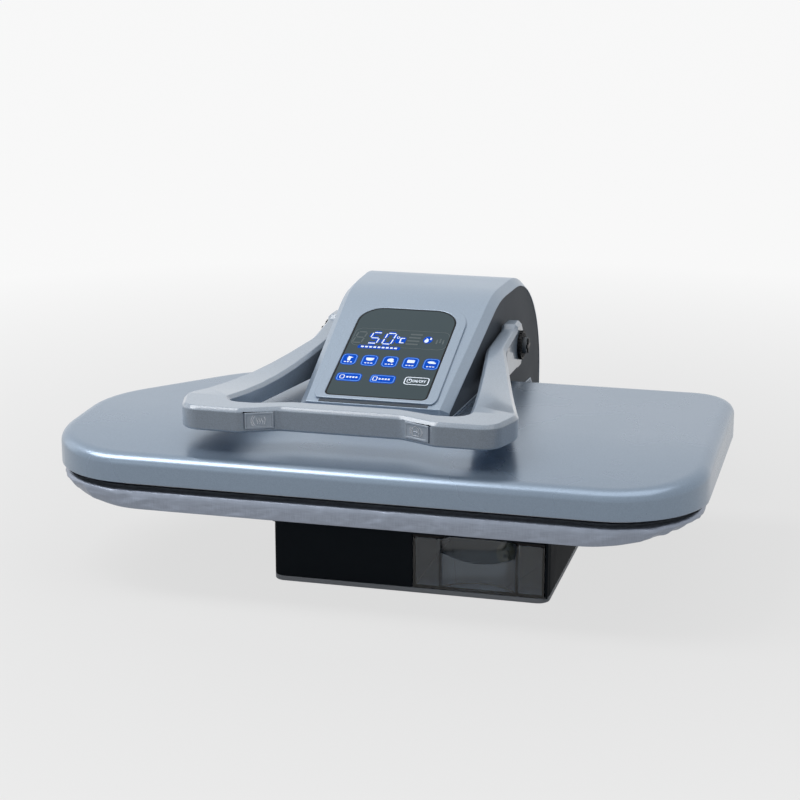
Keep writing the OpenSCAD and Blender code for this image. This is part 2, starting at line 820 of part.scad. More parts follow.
module plate_cover() {
    color([0.62, 0.66, 0.7])
        difference() {
            union() {
                slab(0, cover_z, skirt_h);
                hull() {
                    slab(0, shoulder_z - thin, thin);
                    slab(shoulder_mid_in, shoulder_z + shoulder_mid_h - thin, thin);
                }
                hull() {
                    slab(shoulder_mid_in, shoulder_z + shoulder_mid_h - thin, thin);
                    slab(shoulder_in, cover_top - thin, thin);
                }
            }
            slab(cover_wall, cover_z - 1, skirt_h + 1);
            slab(shoulder_in + cover_wall / 2, cover_z, cover_under - cover_z);
            for (p = boss_pts)
                rod_z(p, cover_under - 1, cover_top + 1, bolt_r + run_play);
        }
}

arm_pts = [[foot_front, cover_top], [foot_front, cover_top + 16], [splay_y + 30, pivot_z + 8],
    [pivot_y, pivot_z + 24], [pivot_y + 40, pivot_z + 10], [hinge_y + eye_r, hinge_z],
    [hinge_y - eye_r, hinge_z], [pivot_y + 14, cover_top - 10], [hood_step_y + 6, cover_top + 8],
    [foot_rear, cover_top]];
web_z = pivot_z + 12;

module arm_frame() {
    color("slategray")
        difference() {
            union() {
                for (sx = [-1, 1]) {
                    along_x(head_x + sx * (frame_half - frame_t / 2) - frame_t / 2,
                            head_x + sx * (frame_half - frame_t / 2) + frame_t / 2)
                        polygon(arm_pts);
                    rod_x(head_x + sx * (frame_half - frame_t / 2) - frame_t / 2,
                        head_x + sx * (frame_half - frame_t / 2) + frame_t / 2, hinge_y, hinge_z, eye_r);
                }
                box([head_x - frame_half + eps, foot_front, cover_top],
                    [head_x + frame_half - eps, foot_rear, cover_top + frame_t]);
                box([head_x - frame_half + eps, pivot_y + 10, pivot_z - frame_t],
                    [head_x + frame_half - eps, pivot_y + 34, pivot_z]);
            }
            rod_x(head_x - frame_half - 1, head_x + frame_half + 1, hinge_y, hinge_z, pin_r + run_play);
            rod_x(head_x - frame_half - 1, head_x + frame_half + 1, pivot_y, pivot_z, shaft_r + run_play);
            for (p = boss_pts)
                rod_z(p, cover_top - 1, cover_top + frame_t + 1, bolt_r + run_play);
        }
}

module frame_bolts() {
    color("silver")
        for (p = boss_pts)
            bolt(p, cover_top + frame_t, sole_top + 4);
}

// Side view of the hood, inset by d; without a floor it runs down past the hood's edge
module hood_side(d, floor) {
    r = hood_r - d;
    b = brow_r - d;
    low = floor ? hood_tail : hood_tail - hood_r;
    intersection() {
        union() {
            translate([hood_y, hood_z])
                circle(r);
            translate([brow_y, brow_z])
                circle(b);
            polygon([[hood_front + d, low], [hood_y + r, low], [hood_y + r, hood_z], [hood_y, hood_z + r],
                [brow_y, brow_z + b], [brow_y - b * sin(hood_slope), brow_z + b * cos(hood_slope)],
                [hood_front + d, nose_z + d * tan(hood_slope) - d / cos(hood_slope)]]);
        }
        polygon([[hood_front + d, floor ? hood_foot : low], [hood_rear - d, low], [hood_rear - d, hood_top],
            [hood_front + d, hood_top]]);
    }
}

// The space between the hood's two sides, each inset by d
module hood_width(d) {
    y0 = hood_front - 1;
    y1 = hood_rear + 1;
    translate([head_x, 0, 0])
        linear_extrude(hood_top + 1)
            polygon([[-hood_w(y0) + d, y0], [hood_w(y0) - d, y0], [hood_w(y1) - d, y1], [-hood_w(y1) + d, y1]]);
}

// A layer along one side of the hood, between two insets
module hood_layer(side, d0, d1) {
    y0 = hood_front - 1;
    y1 = hood_rear + 1;
    translate([head_x, 0, 0])
        linear_extrude(hood_top + 1)
            polygon([[side * (hood_w(y0) - d0), y0], [side * (hood_w(y1) - d0), y1],
                [side * (hood_w(y1) - d1), y1], [side * (hood_w(y0) - d1), y0]]);
}

module hood_body(side_d, width_d, floor) {
    intersection() {
        along_x(head_x - hood_r, head_x + hood_r)
            hood_side(side_d, floor);
        hood_width(width_d);
    }
}

side_rim = hood_bevel + 1;

low_rim = 2;

// Side view of what is cut away below the hood, grown upwards by d
module hood_under(d) {
    polygon([[hood_front - 1, 0], [hood_front - 1, hood_foot + d], [hood_step_y + d, hood_foot + d],
        [hood_step_y + d, hood_low + d], [tail_y + d, hood_low + d], [tail_y + tail_run + d, hood_tail + d],
        [hood_rear + 1, hood_tail + d], [hood_rear + 1, 0]]);
}

// The outline of a side panel; the recess it lies in is larger by grow
module panel_shape(grow) {
    along_x(head_x - hood_r, head_x + hood_r)
        difference() {
            hood_side(side_rim - grow, true);
            hood_under(low_rim - grow);
        }
}

module hood_shell() {
    color([0.7, 0.73, 0.76])
        difference() {
            hull() {
                hood_body(0, hood_bevel, true);
                hood_body(hood_bevel, 0, true);
            }
            hood_body(hood_wall, hood_wall + hood_bevel, false);
            hood_body(hood_wall + hood_bevel, hood_wall, false);
            along_x(head_x - hood_r, head_x + hood_r)
                hood_under(0);
            for (side = [-1, 1])
                intersection() {
                    hood_layer(side, -1, panel_recess);
                    panel_shape(seat_gap);
                }
            rod_x(head_x - hood_r, head_x + hood_r, pivot_y, pivot_z, shaft_r + free_gap);
            on_panel()
                glass_block(-bezel_w / 2 - seat_gap, -3 * hood_wall, hood_wall);
        }
}

module side_panel(side) {
    color([0.28, 0.3, 0.32])
        difference() {
            intersection() {
                hood_layer(side, panel_recess - panel_t, panel_recess);
                panel_shape(0);
            }
            rod_x(head_x - hood_r, head_x + hood_r, pivot_y, pivot_z, shaft_r + free_gap);
        }
}

module side_panel_left() {
    side_panel(-1);
}

module side_panel_right() {
    side_panel(1);
}

// The control panel's own frame: X across, Y up the slope, Z out of the hood
module on_panel() {
    translate([head_x, hood_front, nose_z])
        rotate([hood_slope, 0, 0])
            children();
}

glass_corners = [
    [[-glass_w / 2, glass_low], 180, 270, glass_low_r],
    [[glass_w / 2, glass_low], 270, 360, glass_low_r],
    [[glass_w / 2, glass_low + glass_l], 0, 90, glass_top_r],
    [[-glass_w / 2, glass_low + glass_l], 90, 180, glass_top_r]
];

// A block with the glass's outline, inset by d
module glass_block(d, z0, z1) {
    translate([0, 0, z0])
        linear_extrude(z1 - z0)
            polygon([for (c = glass_corners) each arc_pts(c, d, arc_steps)]);
}

glass_z = bezel_up - glass_t - 0.6;
ledge = 4;

module control_bezel() {
    color([0.7, 0.73, 0.76])
        on_panel()
            difference() {
                union() {
                    glass_block(-bezel_w, 0, bezel_up);
                    glass_block(-bezel_w / 2, glass_z - 3, eps);
                }
                glass_block(-seat_gap, glass_z, bezel_up + 1);
                glass_block(ledge, glass_z - 4, bezel_up + 1);
            }
}

module control_glass() {
    color([0.25, 0.32, 0.34])
        on_panel()
            glass_block(0, glass_z, glass_z + glass_t);
}

display_d = 6;

module display_board() {
    on_panel() {
        color("darkgreen")
            translate([-glass_w / 2 + 3 * ledge, glass_low + 3 * ledge, glass_z - display_d - board_t])
                cube([glass_w - 6 * ledge, glass_l - 6 * ledge, board_t]);
        color("black")
            translate([-glass_w / 2 + 4 * ledge, glass_low + glass_l * 0.62, glass_z - display_d - eps])
                cube([glass_w - 8 * ledge, glass_l * 0.2, display_d + eps]);
    }
}

module handle_shaft() {
    color("lightgray")
        difference() {
            rod_x(head_x - arm_half, head_x + arm_half, pivot_y, pivot_z, shaft_r);
            for (sx = [-1, 1])
                rod_x(head_x + sx * arm_half - 16, head_x + sx * arm_half + 16, pivot_y, pivot_z, bolt_r + run_play);
        }
}

module handle_washers() {
    color("black")
        for (sx = [-1, 1])
            difference() {
                rod_x(head_x + sx * (arm_half + seat_gap + washer_up / 2) - washer_up / 2,
                    head_x + sx * (arm_half + seat_gap + washer_up / 2) + washer_up / 2, pivot_y, pivot_z, washer_r);
                rod_x(head_x - 2 * arm_half, head_x + 2 * arm_half, pivot_y, pivot_z, bolt_r + run_play);
            }
}

bolt_seat = arm_half + seat_gap + washer_up;

module handle_bolts() {
    color("silver")
        for (sx = [-1, 1]) {
            rod_x(head_x + sx * (bolt_seat + bolt_head_t / 2) - bolt_head_t / 2,
                head_x + sx * (bolt_seat + bolt_head_t / 2) + bolt_head_t / 2, pivot_y, pivot_z, bolt_head_r);
            rod_x(head_x + sx * (bolt_seat - 7) - 8, head_x + sx * (bolt_seat - 7) + 8, pivot_y, pivot_z, bolt_r);
        }
}

module bolt_caps() {
    color("black")
        for (sx = [-1, 1])
            translate([head_x + sx * (bolt_seat + bolt_head_t + cap_t / 2), pivot_y, pivot_z]) {
                cube([cap_t, 2 * bolt_head_r - 2, cap_w], center = true);
                cube([cap_t, cap_w, 2 * bolt_head_r - 2], center = true);
            }
}

// Corners of a polygon, each rounded by its own radius
function rounded(p, r, n) = [for (i = [0:len(p) - 1])
    let (a = p[(i + len(p) - 1) % len(p)], b = p[i], c = p[(i + 1) % len(p)],
        u = (a - b) / norm(a - b), w = (c - b) / norm(c - b), h = acos(u * w) / 2,
        o = b + r[i] / sin(h) * (u + w) / norm(u + w), s = b + u * r[i] / tan(h) - o, e = b + w * r[i] / tan(h) - o,
        a0 = atan2(s[1], s[0]), turn = (atan2(e[1], e[0]) - a0 + 540) % 360 - 180)
    each [for (j = [0:n]) o + r[i] * unit(a0 + turn * j / n)]];

corner_in = 14;
corner_run = 46;
end_step = 4.5;
arm_run_w = 32;
grip_rear = grip_front + grip_d;
handle_half = [[arm_half, arm_rear], [arm_half, splay_y], [grip_half, grip_front + corner_run],
    [grip_half - corner_in, grip_front], [jog_out, grip_front], [jog_in, grip_front + jog]];
handle_half_r = [1, 60, 40, 22, 14, 14];
inner_half = [[jog_in - 6, grip_rear + jog - 4], [jog_out - 6, grip_rear], [grip_half - corner_in - arm_run_w, grip_rear],
    [arm_in - (arm_rear - splay_y) * tan(hood_taper), splay_y], [arm_in, arm_rear]];
inner_half_r = [14, 14, 16, 60, 1];
function flip(p) = [for (i = [len(p) - 1:-1:0]) [-p[i][0], p[i][1]]];
function back(r) = [for (i = [len(r) - 1:-1:0]) r[i]];
handle_plan = concat(handle_half, flip(handle_half), flip(inner_half), inner_half);
handle_plan_r = concat(handle_half_r, back(handle_half_r), back(inner_half_r), inner_half_r);

// Upper edge of an arm in the side view, from the grip bar (0) to the end (1)
grip_top = grip_z + grip_h;
arm_from = grip_front + corner_run;
arm_to = pivot_y - arm_end_r / 2;
arm_climb = pivot_z + arm_end_r - end_step - grip_top;
function arm_edge(t) = [arm_from + (arm_to - arm_from) * t,
    grip_top + arm_climb * t * t * (3 - 2 * t) - arm_dip * sin(180 * t)];

// Side view of the handle
module handle_side() {
    translate([pivot_y, pivot_z])
        rotate(22.5)
            circle(arm_end_r / cos(22.5), $fn = 8);
    polygon(concat([[grip_front - 1, grip_top], [grip_front - 1, grip_z], [grip_front + 2 * corner_run, grip_z],
        [pivot_y - 8, pivot_z - arm_end_r + 1], [pivot_y, pivot_z]],
        [for (i = [arm_steps:-1:0]) arm_edge(i / arm_steps)]));
}

// The frame of a steam button: X along its face, Y into the bar
module on_jog(side) {
    translate([head_x + side * jog_x, grip_front + jog / 2, grip_z + grip_h / 2])
        rotate([0, 0, -side * jog_a])
            children();
}

module handle_frame() {
    color([0.66, 0.7, 0.73])
        difference() {
            intersection() {
                translate([head_x, 0, 0])
                    linear_extrude(pivot_z + 2 * arm_end_r)
                        polygon(rounded(handle_plan, handle_plan_r, 6));
                along_x(head_x - 2 * grip_half, head_x + 2 * grip_half)
                    handle_side();
            }
            rod_x(head_x - 2 * arm_half, head_x + 2 * arm_half, pivot_y, pivot_z, shaft_r + run_play);
            for (side = [-1, 1])
                on_jog(side) {
                    translate([-button_w / 2 - seat_gap, -3 * button_t, -button_h / 2 - seat_gap])
                        cube([button_w + 2 * seat_gap, 3 * button_t + pocket_d, button_h + 2 * seat_gap]);
                    translate([-switch_w / 2, 0, -switch_w / 2])
                        cube([switch_w, pocket_d + switch_d, switch_w]);
                }
        }
}

module button_switches() {
    color("black")
        for (side = [-1, 1])
            on_jog(side) {
                translate([-switch_w / 2, pocket_d, -switch_w / 2])
                    cube([switch_w, switch_d, switch_w]);
            }
}

// A steam button with a raised border on its face
module steam_button(side) {
    color([0.6, 0.63, 0.66])
        on_jog(side)
            difference() {
                translate([-button_w / 2, -button_up, -button_h / 2])
                    cube([button_w, button_t, button_h]);
                translate([-button_w / 2 + 2, -button_up - 1, -button_h / 2 + 2])
                    cube([button_w - 4, 1.6, button_h - 4]);
            }
}

module steam_button_left() {
    steam_button(-1);
}

module steam_button_right() {
    steam_button(1);
}

base_tray();
base_housing();
base_feet();
tray_screws();
cord_gland();
water_pump();
tank_valve();
power_board();
hinge_bracket();
bracket_bolts();
hinge_pin();
hinge_washers();
board_pan();
pan_posts();
pan_bolts();
board_pad();
board_cover();
water_tank();
tank_lid();
heating_plate();
plate_seal();
heating_element();
steam_manifold();
heat_shield();
plate_cover();
arm_frame();
frame_bolts();
hood_shell();
side_panel_left();
side_panel_right();
control_bezel();
control_glass();
display_board();
handle_shaft();
handle_washers();
handle_bolts();
bolt_caps();
handle_frame();
button_switches();
steam_button_left();
steam_button_right();
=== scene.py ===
# %% [markdown]
# # A steam ironing press, dressed for its photograph
# The press has a padded board on a black base, and a heated plate that hangs from a hinged head with a lever handle.
# The solid model is loaded first and stays where it is. Each visible piece is then modelled over its solid, or keeps
# the solid and gets a better finish. All lengths are in metres, with the front at -Y.

# %% Load the solid model
import json
import math

import bmesh
import bpy
from mathutils import Matrix, Vector, noise


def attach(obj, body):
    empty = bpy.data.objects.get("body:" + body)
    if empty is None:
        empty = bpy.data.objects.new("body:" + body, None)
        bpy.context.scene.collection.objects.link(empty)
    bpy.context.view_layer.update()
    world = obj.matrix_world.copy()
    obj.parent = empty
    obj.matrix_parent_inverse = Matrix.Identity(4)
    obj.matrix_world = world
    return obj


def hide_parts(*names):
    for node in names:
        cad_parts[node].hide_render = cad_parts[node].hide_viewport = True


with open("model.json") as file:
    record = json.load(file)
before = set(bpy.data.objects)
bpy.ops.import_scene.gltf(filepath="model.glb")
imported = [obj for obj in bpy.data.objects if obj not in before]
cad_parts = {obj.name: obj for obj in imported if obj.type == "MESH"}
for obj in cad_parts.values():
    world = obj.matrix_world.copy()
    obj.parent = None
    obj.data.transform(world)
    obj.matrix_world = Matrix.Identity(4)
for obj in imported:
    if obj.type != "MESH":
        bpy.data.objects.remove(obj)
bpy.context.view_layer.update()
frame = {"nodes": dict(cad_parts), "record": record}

mm = 0.001

# %% [markdown]
# ## Node groups that several finishes share
# A finish is more than one colour. Painted plastic has metal flakes, a slight ripple in its lacquer and places that are
# a little duller than others. Moulded plastic has a fine grain, and bare metal has brush lines. Each effect is built
# once as a node group with named inputs, so that every material can place it with its own values.

# %% Helpers for node groups and materials
colour, number, direction = "NodeSocketColor", "NodeSocketFloat", "NodeSocketVector"


def new_group(name, inputs):
    """A shader group with named inputs, and outputs for colour, roughness and normal."""
    tree = bpy.data.node_groups.new(name, "ShaderNodeTree")
    for label, kind, value in inputs:
        tree.interface.new_socket(label, in_out="INPUT", socket_type=kind).default_value = value
    for label, kind in (("Color", colour), ("Roughness", number), ("Normal", direction)):
        tree.interface.new_socket(label, in_out="OUTPUT", socket_type=kind)
    return tree, tree.nodes.new("NodeGroupInput").outputs, tree.nodes.new("NodeGroupOutput")


def node(tree, kind, **settings):
    """A node with its settings; a setting that names an input sets that input's value."""
    made = tree.nodes.new(kind)
    for key, value in settings.items():
        label = key.replace("_", " ").title()
        if hasattr(made, key):
            setattr(made, key, value)
        else:
            made.inputs[label].default_value = value
    return made


def blend_colours(tree, factor, first, second):
    """A colour mix between two sockets; returns its result."""
    mix = tree.nodes.new("ShaderNodeMix")
    mix.data_type = "RGBA"
    tree.links.new(factor, mix.inputs[0])
    tree.links.new(first, mix.inputs[6])
    tree.links.new(second, mix.inputs[7])
    return mix.outputs[2]


def spread(tree, value, low, high, to_low, to_high):
    """The value's span from low to high, laid over another span; each end is a number or a socket."""
    span = tree.nodes.new("ShaderNodeMapRange")
    tree.links.new(value, span.inputs["Value"])
    for label, end in (("From Min", low), ("From Max", high), ("To Min", to_low), ("To Max", to_high)):
        if isinstance(end, (int, float)):
            span.inputs[label].default_value = end
        else:
            tree.links.new(end, span.inputs[label])
    return span.outputs["Result"]


def texture(tree, kind, vector, **settings):
    """A node that reads the given coordinates."""
    made = node(tree, kind, **settings)
    tree.links.new(vector, made.inputs["Vector"])
    return made


def close_group(tree, given, leave, tint, rough, height, distance, strength):
    """Feeds the outputs: two tones mixed by a tint, a roughness, and a bump; its strength is a number or a socket."""
    bump = node(tree, "ShaderNodeBump", distance=distance)
    tree.links.new(height, bump.inputs["Height"])
    if isinstance(strength, float):
        bump.inputs["Strength"].default_value = strength
    else:
        tree.links.new(strength, bump.inputs["Strength"])
    mixed = blend_colours(tree, tint, given["Dark"], given["Light"])
    for label, result in (("Color", mixed), ("Roughness", rough), ("Normal", bump.outputs["Normal"])):
        tree.links.new(result, leave.inputs[label])


# %% Group: flaked paint
flaked, given, leave = new_group("flaked_paint", [
    ("Dark", colour, (0.3, 0.34, 0.38, 1)), ("Light", colour, (0.36, 0.4, 0.45, 1)), ("Flakes", number, 1500.0),
    ("Gloss", number, 0.3), ("Dull", number, 0.38), ("Ripple", number, 0.05)])
place = node(flaked, "ShaderNodeTexCoord").outputs["Object"]
flake = texture(flaked, "ShaderNodeTexVoronoi", place)
flaked.links.new(given["Flakes"], flake.inputs["Scale"])
shade = node(flaked, "ShaderNodeSeparateColor")
flaked.links.new(flake.outputs["Color"], shade.inputs["Color"])
smudge = texture(flaked, "ShaderNodeTexNoise", place, scale=9.0, detail=3.0)
dulled = spread(flaked, smudge.outputs["Fac"], 0.35, 0.65, given["Gloss"], given["Dull"])
ripple = texture(flaked, "ShaderNodeTexNoise", place, scale=420.0, detail=1.0)
close_group(flaked, given, leave, shade.outputs["Red"], dulled, ripple.outputs["Fac"], 0.0004, given["Ripple"])

# %% Group: moulded grain
grained, given, leave = new_group("moulded_grain", [
    ("Dark", colour, (0.02, 0.02, 0.02, 1)), ("Light", colour, (0.03, 0.03, 0.03, 1)), ("Grains", number, 900.0),
    ("Gloss", number, 0.4), ("Dull", number, 0.5), ("Depth", number, 0.15)])
place = node(grained, "ShaderNodeTexCoord").outputs["Object"]
grain = texture(grained, "ShaderNodeTexNoise", place, detail=2.0)
grained.links.new(given["Grains"], grain.inputs["Scale"])
cloud = texture(grained, "ShaderNodeTexNoise", place, scale=12.0, detail=3.0).outputs["Fac"]
dulled = spread(grained, cloud, 0.35, 0.65, given["Gloss"], given["Dull"])
close_group(grained, given, leave, cloud, dulled, grain.outputs["Fac"], 0.0003, given["Depth"])

# %% Group: brushed metal
brushed, given, leave = new_group("brushed_metal", [
    ("Dark", colour, (0.45, 0.46, 0.47, 1)), ("Light", colour, (0.62, 0.63, 0.64, 1)), ("Lines", number, 900.0),
    ("Gloss", number, 0.28), ("Dull", number, 0.42)])
place = node(brushed, "ShaderNodeTexCoord").outputs["Object"]
stretch = texture(brushed, "ShaderNodeMapping", place)
stretch.inputs["Scale"].default_value = (0.03, 1.0, 1.0)
lines = texture(brushed, "ShaderNodeTexNoise", stretch.outputs["Vector"], detail=2.0)
brushed.links.new(given["Lines"], lines.inputs["Scale"])
streak = lines.outputs["Fac"]
dulled = spread(brushed, streak, 0.3, 0.7, given["Gloss"], given["Dull"])
close_group(brushed, given, leave, streak, dulled, streak, 0.0002, 0.12)
print("node groups:", [g.name for g in bpy.data.node_groups])

# %% [markdown]
# ## Finishes
# The cover, hood and handle share a silver-blue lacquer under clear coat. The base is plain black, its tray satin grey.
# The clear tank transmits light, so its colour stays nearly white and the dark bay behind it makes it look dark. Each
# row of the table names a node group, its two tones, its other values and the numbers on the shader itself.

# %% Finishes
def finish(name, group, values, **sockets):
    """A material: one group feeds colour, roughness and normal; plain numbers go on the shader's own sockets."""
    made = bpy.data.materials.new(name)
    made.use_nodes = True
    tree = made.node_tree
    shader = tree.nodes["Principled BSDF"]
    effect = tree.nodes.new("ShaderNodeGroup")
    effect.node_tree = group
    for label, value in values.items():
        effect.inputs[label].default_value = value
    tree.links.new(effect.outputs["Color"], shader.inputs["Base Color"])
    tree.links.new(effect.outputs["Roughness"], shader.inputs["Roughness"])
    tree.links.new(effect.outputs["Normal"], shader.inputs["Normal"])
    for label, value in sockets.items():
        shader.inputs[label.replace("_", " ")].default_value = value
    return made


def two_tones(r, g, b, swing=0.06):
    """A darker and a lighter colour round the given one."""
    return {"Dark": (*(c * (1 - swing) for c in (r, g, b)), 1),
            "Light": (*(min(1, c * (1 + swing)) for c in (r, g, b)), 1)}


metal = dict(Metallic=1.0)
finish_table = {
    "cover_silver": (flaked, two_tones(0.25, 0.32, 0.41), dict(Gloss=0.26, Dull=0.31, Ripple=0.02),
                     dict(Metallic=0.6, Coat_Weight=0.3, Coat_Roughness=0.25)),
    "hood_silver": (flaked, two_tones(0.355, 0.435, 0.535), dict(Gloss=0.34, Dull=0.42, Ripple=0.02),
                    dict(Metallic=0.4, Coat_Weight=0.3, Coat_Roughness=0.2)),
    "handle_silver": (flaked, two_tones(0.315, 0.385, 0.475, 0.12), dict(Gloss=0.3, Dull=0.36, Ripple=0.015),
                      dict(Metallic=0.0, Coat_Weight=0.8, Coat_Roughness=0.1)),
    "panel_gunmetal": (flaked, two_tones(0.105, 0.12, 0.14), dict(Gloss=0.4, Dull=0.5, Ripple=0.02),
                       dict(Specular_IOR_Level=0.04)),
    "button_grey": (flaked, two_tones(0.4, 0.46, 0.54), dict(Gloss=0.3, Dull=0.38, Ripple=0.015), dict(Metallic=0.2)),
    "housing_black": (grained, two_tones(0.028, 0.034, 0.042), dict(Gloss=0.2, Dull=0.3, Depth=0.02),
                      dict(Specular_IOR_Level=0.001)),
    "tray_grey": (grained, two_tones(0.5, 0.53, 0.58), dict(Gloss=0.38, Dull=0.5), dict(Specular_IOR_Level=0.2)),
    "rubber_black": (grained, two_tones(0.018, 0.018, 0.018), dict(Gloss=0.75, Dull=0.9, Depth=0.3), {}),
    "black_plastic": (grained, two_tones(0.008, 0.008, 0.009), dict(Gloss=0.3, Dull=0.42),
                      dict(Specular_IOR_Level=0.15)),
    "grey_plastic": (grained, two_tones(0.16, 0.165, 0.17), dict(Gloss=0.5, Dull=0.65), {}),
    "pan_grey": (grained, two_tones(0.12, 0.125, 0.13), dict(Gloss=0.5, Dull=0.6), {}),
    "board_green": (grained, two_tones(0.01, 0.09, 0.035, 0.3), dict(Grains=240.0, Gloss=0.35, Dull=0.5), {}),
    "frame_steel": (flaked, two_tones(0.07, 0.08, 0.09), dict(Gloss=0.45, Dull=0.6, Ripple=0.1), dict(Metallic=0.2)),
    "steel": (brushed, {}, {}, metal),
    "bright_steel": (brushed, dict(Dark=(0.4, 0.42, 0.45, 1), Light=(0.5, 0.52, 0.56, 1)),
                     dict(Gloss=0.22, Dull=0.32), metal),
    "valve_brass": (brushed, dict(Dark=(0.5, 0.34, 0.12, 1), Light=(0.66, 0.47, 0.2, 1)), {}, metal),
    "plate_alu": (brushed, dict(Dark=(0.55, 0.56, 0.57, 1), Light=(0.66, 0.67, 0.68, 1)),
                  dict(Lines=500.0, Gloss=0.3, Dull=0.4), metal),
    "sheet_alu": (brushed, dict(Dark=(0.66, 0.67, 0.68, 1), Light=(0.74, 0.75, 0.76, 1)),
                  dict(Gloss=0.2, Dull=0.3), metal),
    "clear_plastic": (grained, dict(Dark=(0.74, 0.83, 0.93, 1), Light=(0.8, 0.88, 0.96, 1)),
                      dict(Gloss=0.02, Dull=0.05, Depth=0.01), dict(Transmission_Weight=1.0, IOR=1.45)),
    "panel_glass": (grained, two_tones(0.05, 0.078, 0.09, 0.03), dict(Gloss=0.12, Dull=0.18, Depth=0.0),
                    dict(Specular_IOR_Level=0.2)),
}
finishes = {name: finish(name, group, {**tones, **values}, **sockets)
            for name, (group, tones, values, sockets) in finish_table.items()}
print("finishes:", len(finishes))

# %% [markdown]
# ## Floor, light and camera
# A product photograph of this kind is lit by large soft boxes above a pale sweep. One lamp high on the left draws the
# white line along the rounded edges, three weaker ones fill the top, the front and the left side, and a pale world
# lights the rest. Floor and world are brighter where they are seen, also in a reflection or through the tank, than
# where they light the press. The camera stands a little to the right and fifteen degrees above, as in the photograph.

# %% Floor, light and camera
scene = bpy.context.scene
scene.view_settings.view_transform = "Standard"
bpy.ops.object.select_all(action="DESELECT")


def add_object(name, data):
    made = bpy.data.objects.new(name, data)
    scene.collection.objects.link(made)
    return made


def seen_ray(tree):
    """1 for a ray from the camera, in a reflection or through a clear piece, and 0 for one that only carries light."""
    ray = tree.nodes.new("ShaderNodeLightPath")
    seen = ray.outputs["Is Camera Ray"]
    for label in ("Is Glossy Ray", "Is Transmission Ray"):
        either = node(tree, "ShaderNodeMath", operation="MAXIMUM")
        tree.links.new(seen, either.inputs[0])
        tree.links.new(ray.outputs[label], either.inputs[1])
        seen = either.outputs["Value"]
    return seen


bpy.ops.mesh.primitive_plane_add(size=60, location=(0, 0, 0))
floor = bpy.context.object
floor.name = "floor"
floor_paint = bpy.data.materials.new("floor_paint")
floor_paint.use_nodes = True
tree = floor_paint.node_tree
matte = tree.nodes["Principled BSDF"]
matte.inputs["Base Color"].default_value = (0.36, 0.36, 0.36, 1)
matte.inputs["Roughness"].default_value = 0.95
matte.inputs["Specular IOR Level"].default_value = 0.0
pale = tree.nodes.new("ShaderNodeEmission")
spot = node(tree, "ShaderNodeTexCoord").outputs["Object"]
reach = texture(tree, "ShaderNodeVectorMath", spot, operation="LENGTH").outputs["Value"]
share = node(tree, "ShaderNodeMath", operation="MULTIPLY")
tree.links.new(seen_ray(tree), share.inputs[0])
tree.links.new(spread(tree, reach, 0.4, 1.5, 0.7, 0.93), share.inputs[1])
mix = tree.nodes.new("ShaderNodeMixShader")
tree.links.new(share.outputs["Value"], mix.inputs["Fac"])
tree.links.new(matte.outputs["BSDF"], mix.inputs[1])
tree.links.new(pale.outputs["Emission"], mix.inputs[2])
tree.links.new(mix.outputs["Shader"], tree.nodes["Material Output"].inputs["Surface"])
floor.data.materials.append(floor_paint)

world = bpy.data.worlds.new("studio")
scene.world = world
world.use_nodes = True
tree = world.node_tree
sky = tree.nodes["Background"]
sky.inputs["Color"].default_value = (0.97, 0.985, 1.0, 1)
tree.links.new(spread(tree, seen_ray(tree), 0.0, 1.0, 0.22, 0.93), sky.inputs["Strength"])


def soft_box(name, place, target, size, watts):
    """A rectangular lamp that faces the target."""
    lamp = bpy.data.lights.new(name, "AREA")
    lamp.shape = "RECTANGLE"
    lamp.size, lamp.size_y = size
    lamp.energy = watts
    box = add_object(name, lamp)
    box.location = place
    box.rotation_euler = (Vector(target) - Vector(place)).to_track_quat("-Z", "Y").to_euler()


soft_box("over_lamp", (-1.05, -0.35, 1.7), (-1.05, -0.1, 0.1), (1.5, 0.65), 21)
soft_box("top_lamp", (0.6, -0.1, 2.0), (0.6, -0.05, 0.1), (1.6, 1.2), 7)
soft_box("front_lamp", (-1.1, -2.2, 1.3), (0, 0, 0.1), (1.2, 1.2), 1.5)
soft_box("left_lamp", (-2.0, 0.3, 0.9), (0, 0, 0.15), (1.0, 1.4), 2.5)

lens = bpy.data.cameras.new("camera")
lens.lens, lens.sensor_width = 90, 36
camera = add_object("camera", lens)
camera.location = (0.4965, -1.9960, 0.6894)
camera.rotation_euler = (math.radians(74.993), 0, math.radians(14.689))
scene.camera = camera
print("stage ready")

# %% [markdown]
# ## Working by hand in edit mode
# Every piece is shaped the way one works at the screen: go into edit mode, pick faces or edges, and run an operator.
# Picking is done in code by place or normal. When a piece is done, it gets its finish, smooth shading, the body it
# moves with and the solid it stands for.

# %% Helpers for edit mode
weld, flat_angle, sharp_angle = 0.02 * mm, math.radians(0.8), math.radians(28)


def choose(piece):
    """Makes one piece the only one selected, and the active one."""
    bpy.ops.object.select_all(action="DESELECT")
    piece.select_set(True)
    bpy.context.view_layer.objects.active = piece


def open_piece(piece, kind="FACE"):
    """Edit mode on one piece, with nothing picked."""
    if bpy.context.object and bpy.context.object.mode == "EDIT":
        bpy.ops.object.mode_set(mode="OBJECT")
    choose(piece)
    bpy.ops.object.mode_set(mode="EDIT")
    bpy.ops.mesh.select_mode(type=kind)
    bpy.ops.mesh.select_all(action="DESELECT")


def close_piece():
    bpy.ops.object.mode_set(mode="OBJECT")


def take_all():
    bpy.ops.mesh.select_all(action="SELECT")


def face_out():
    """Turns all normals outwards."""
    take_all()
    bpy.ops.mesh.normals_make_consistent(inside=False)


def apply_place():
    """Puts the active piece's place into its mesh."""
    bpy.ops.object.transform_apply(location=True, rotation=True, scale=True)


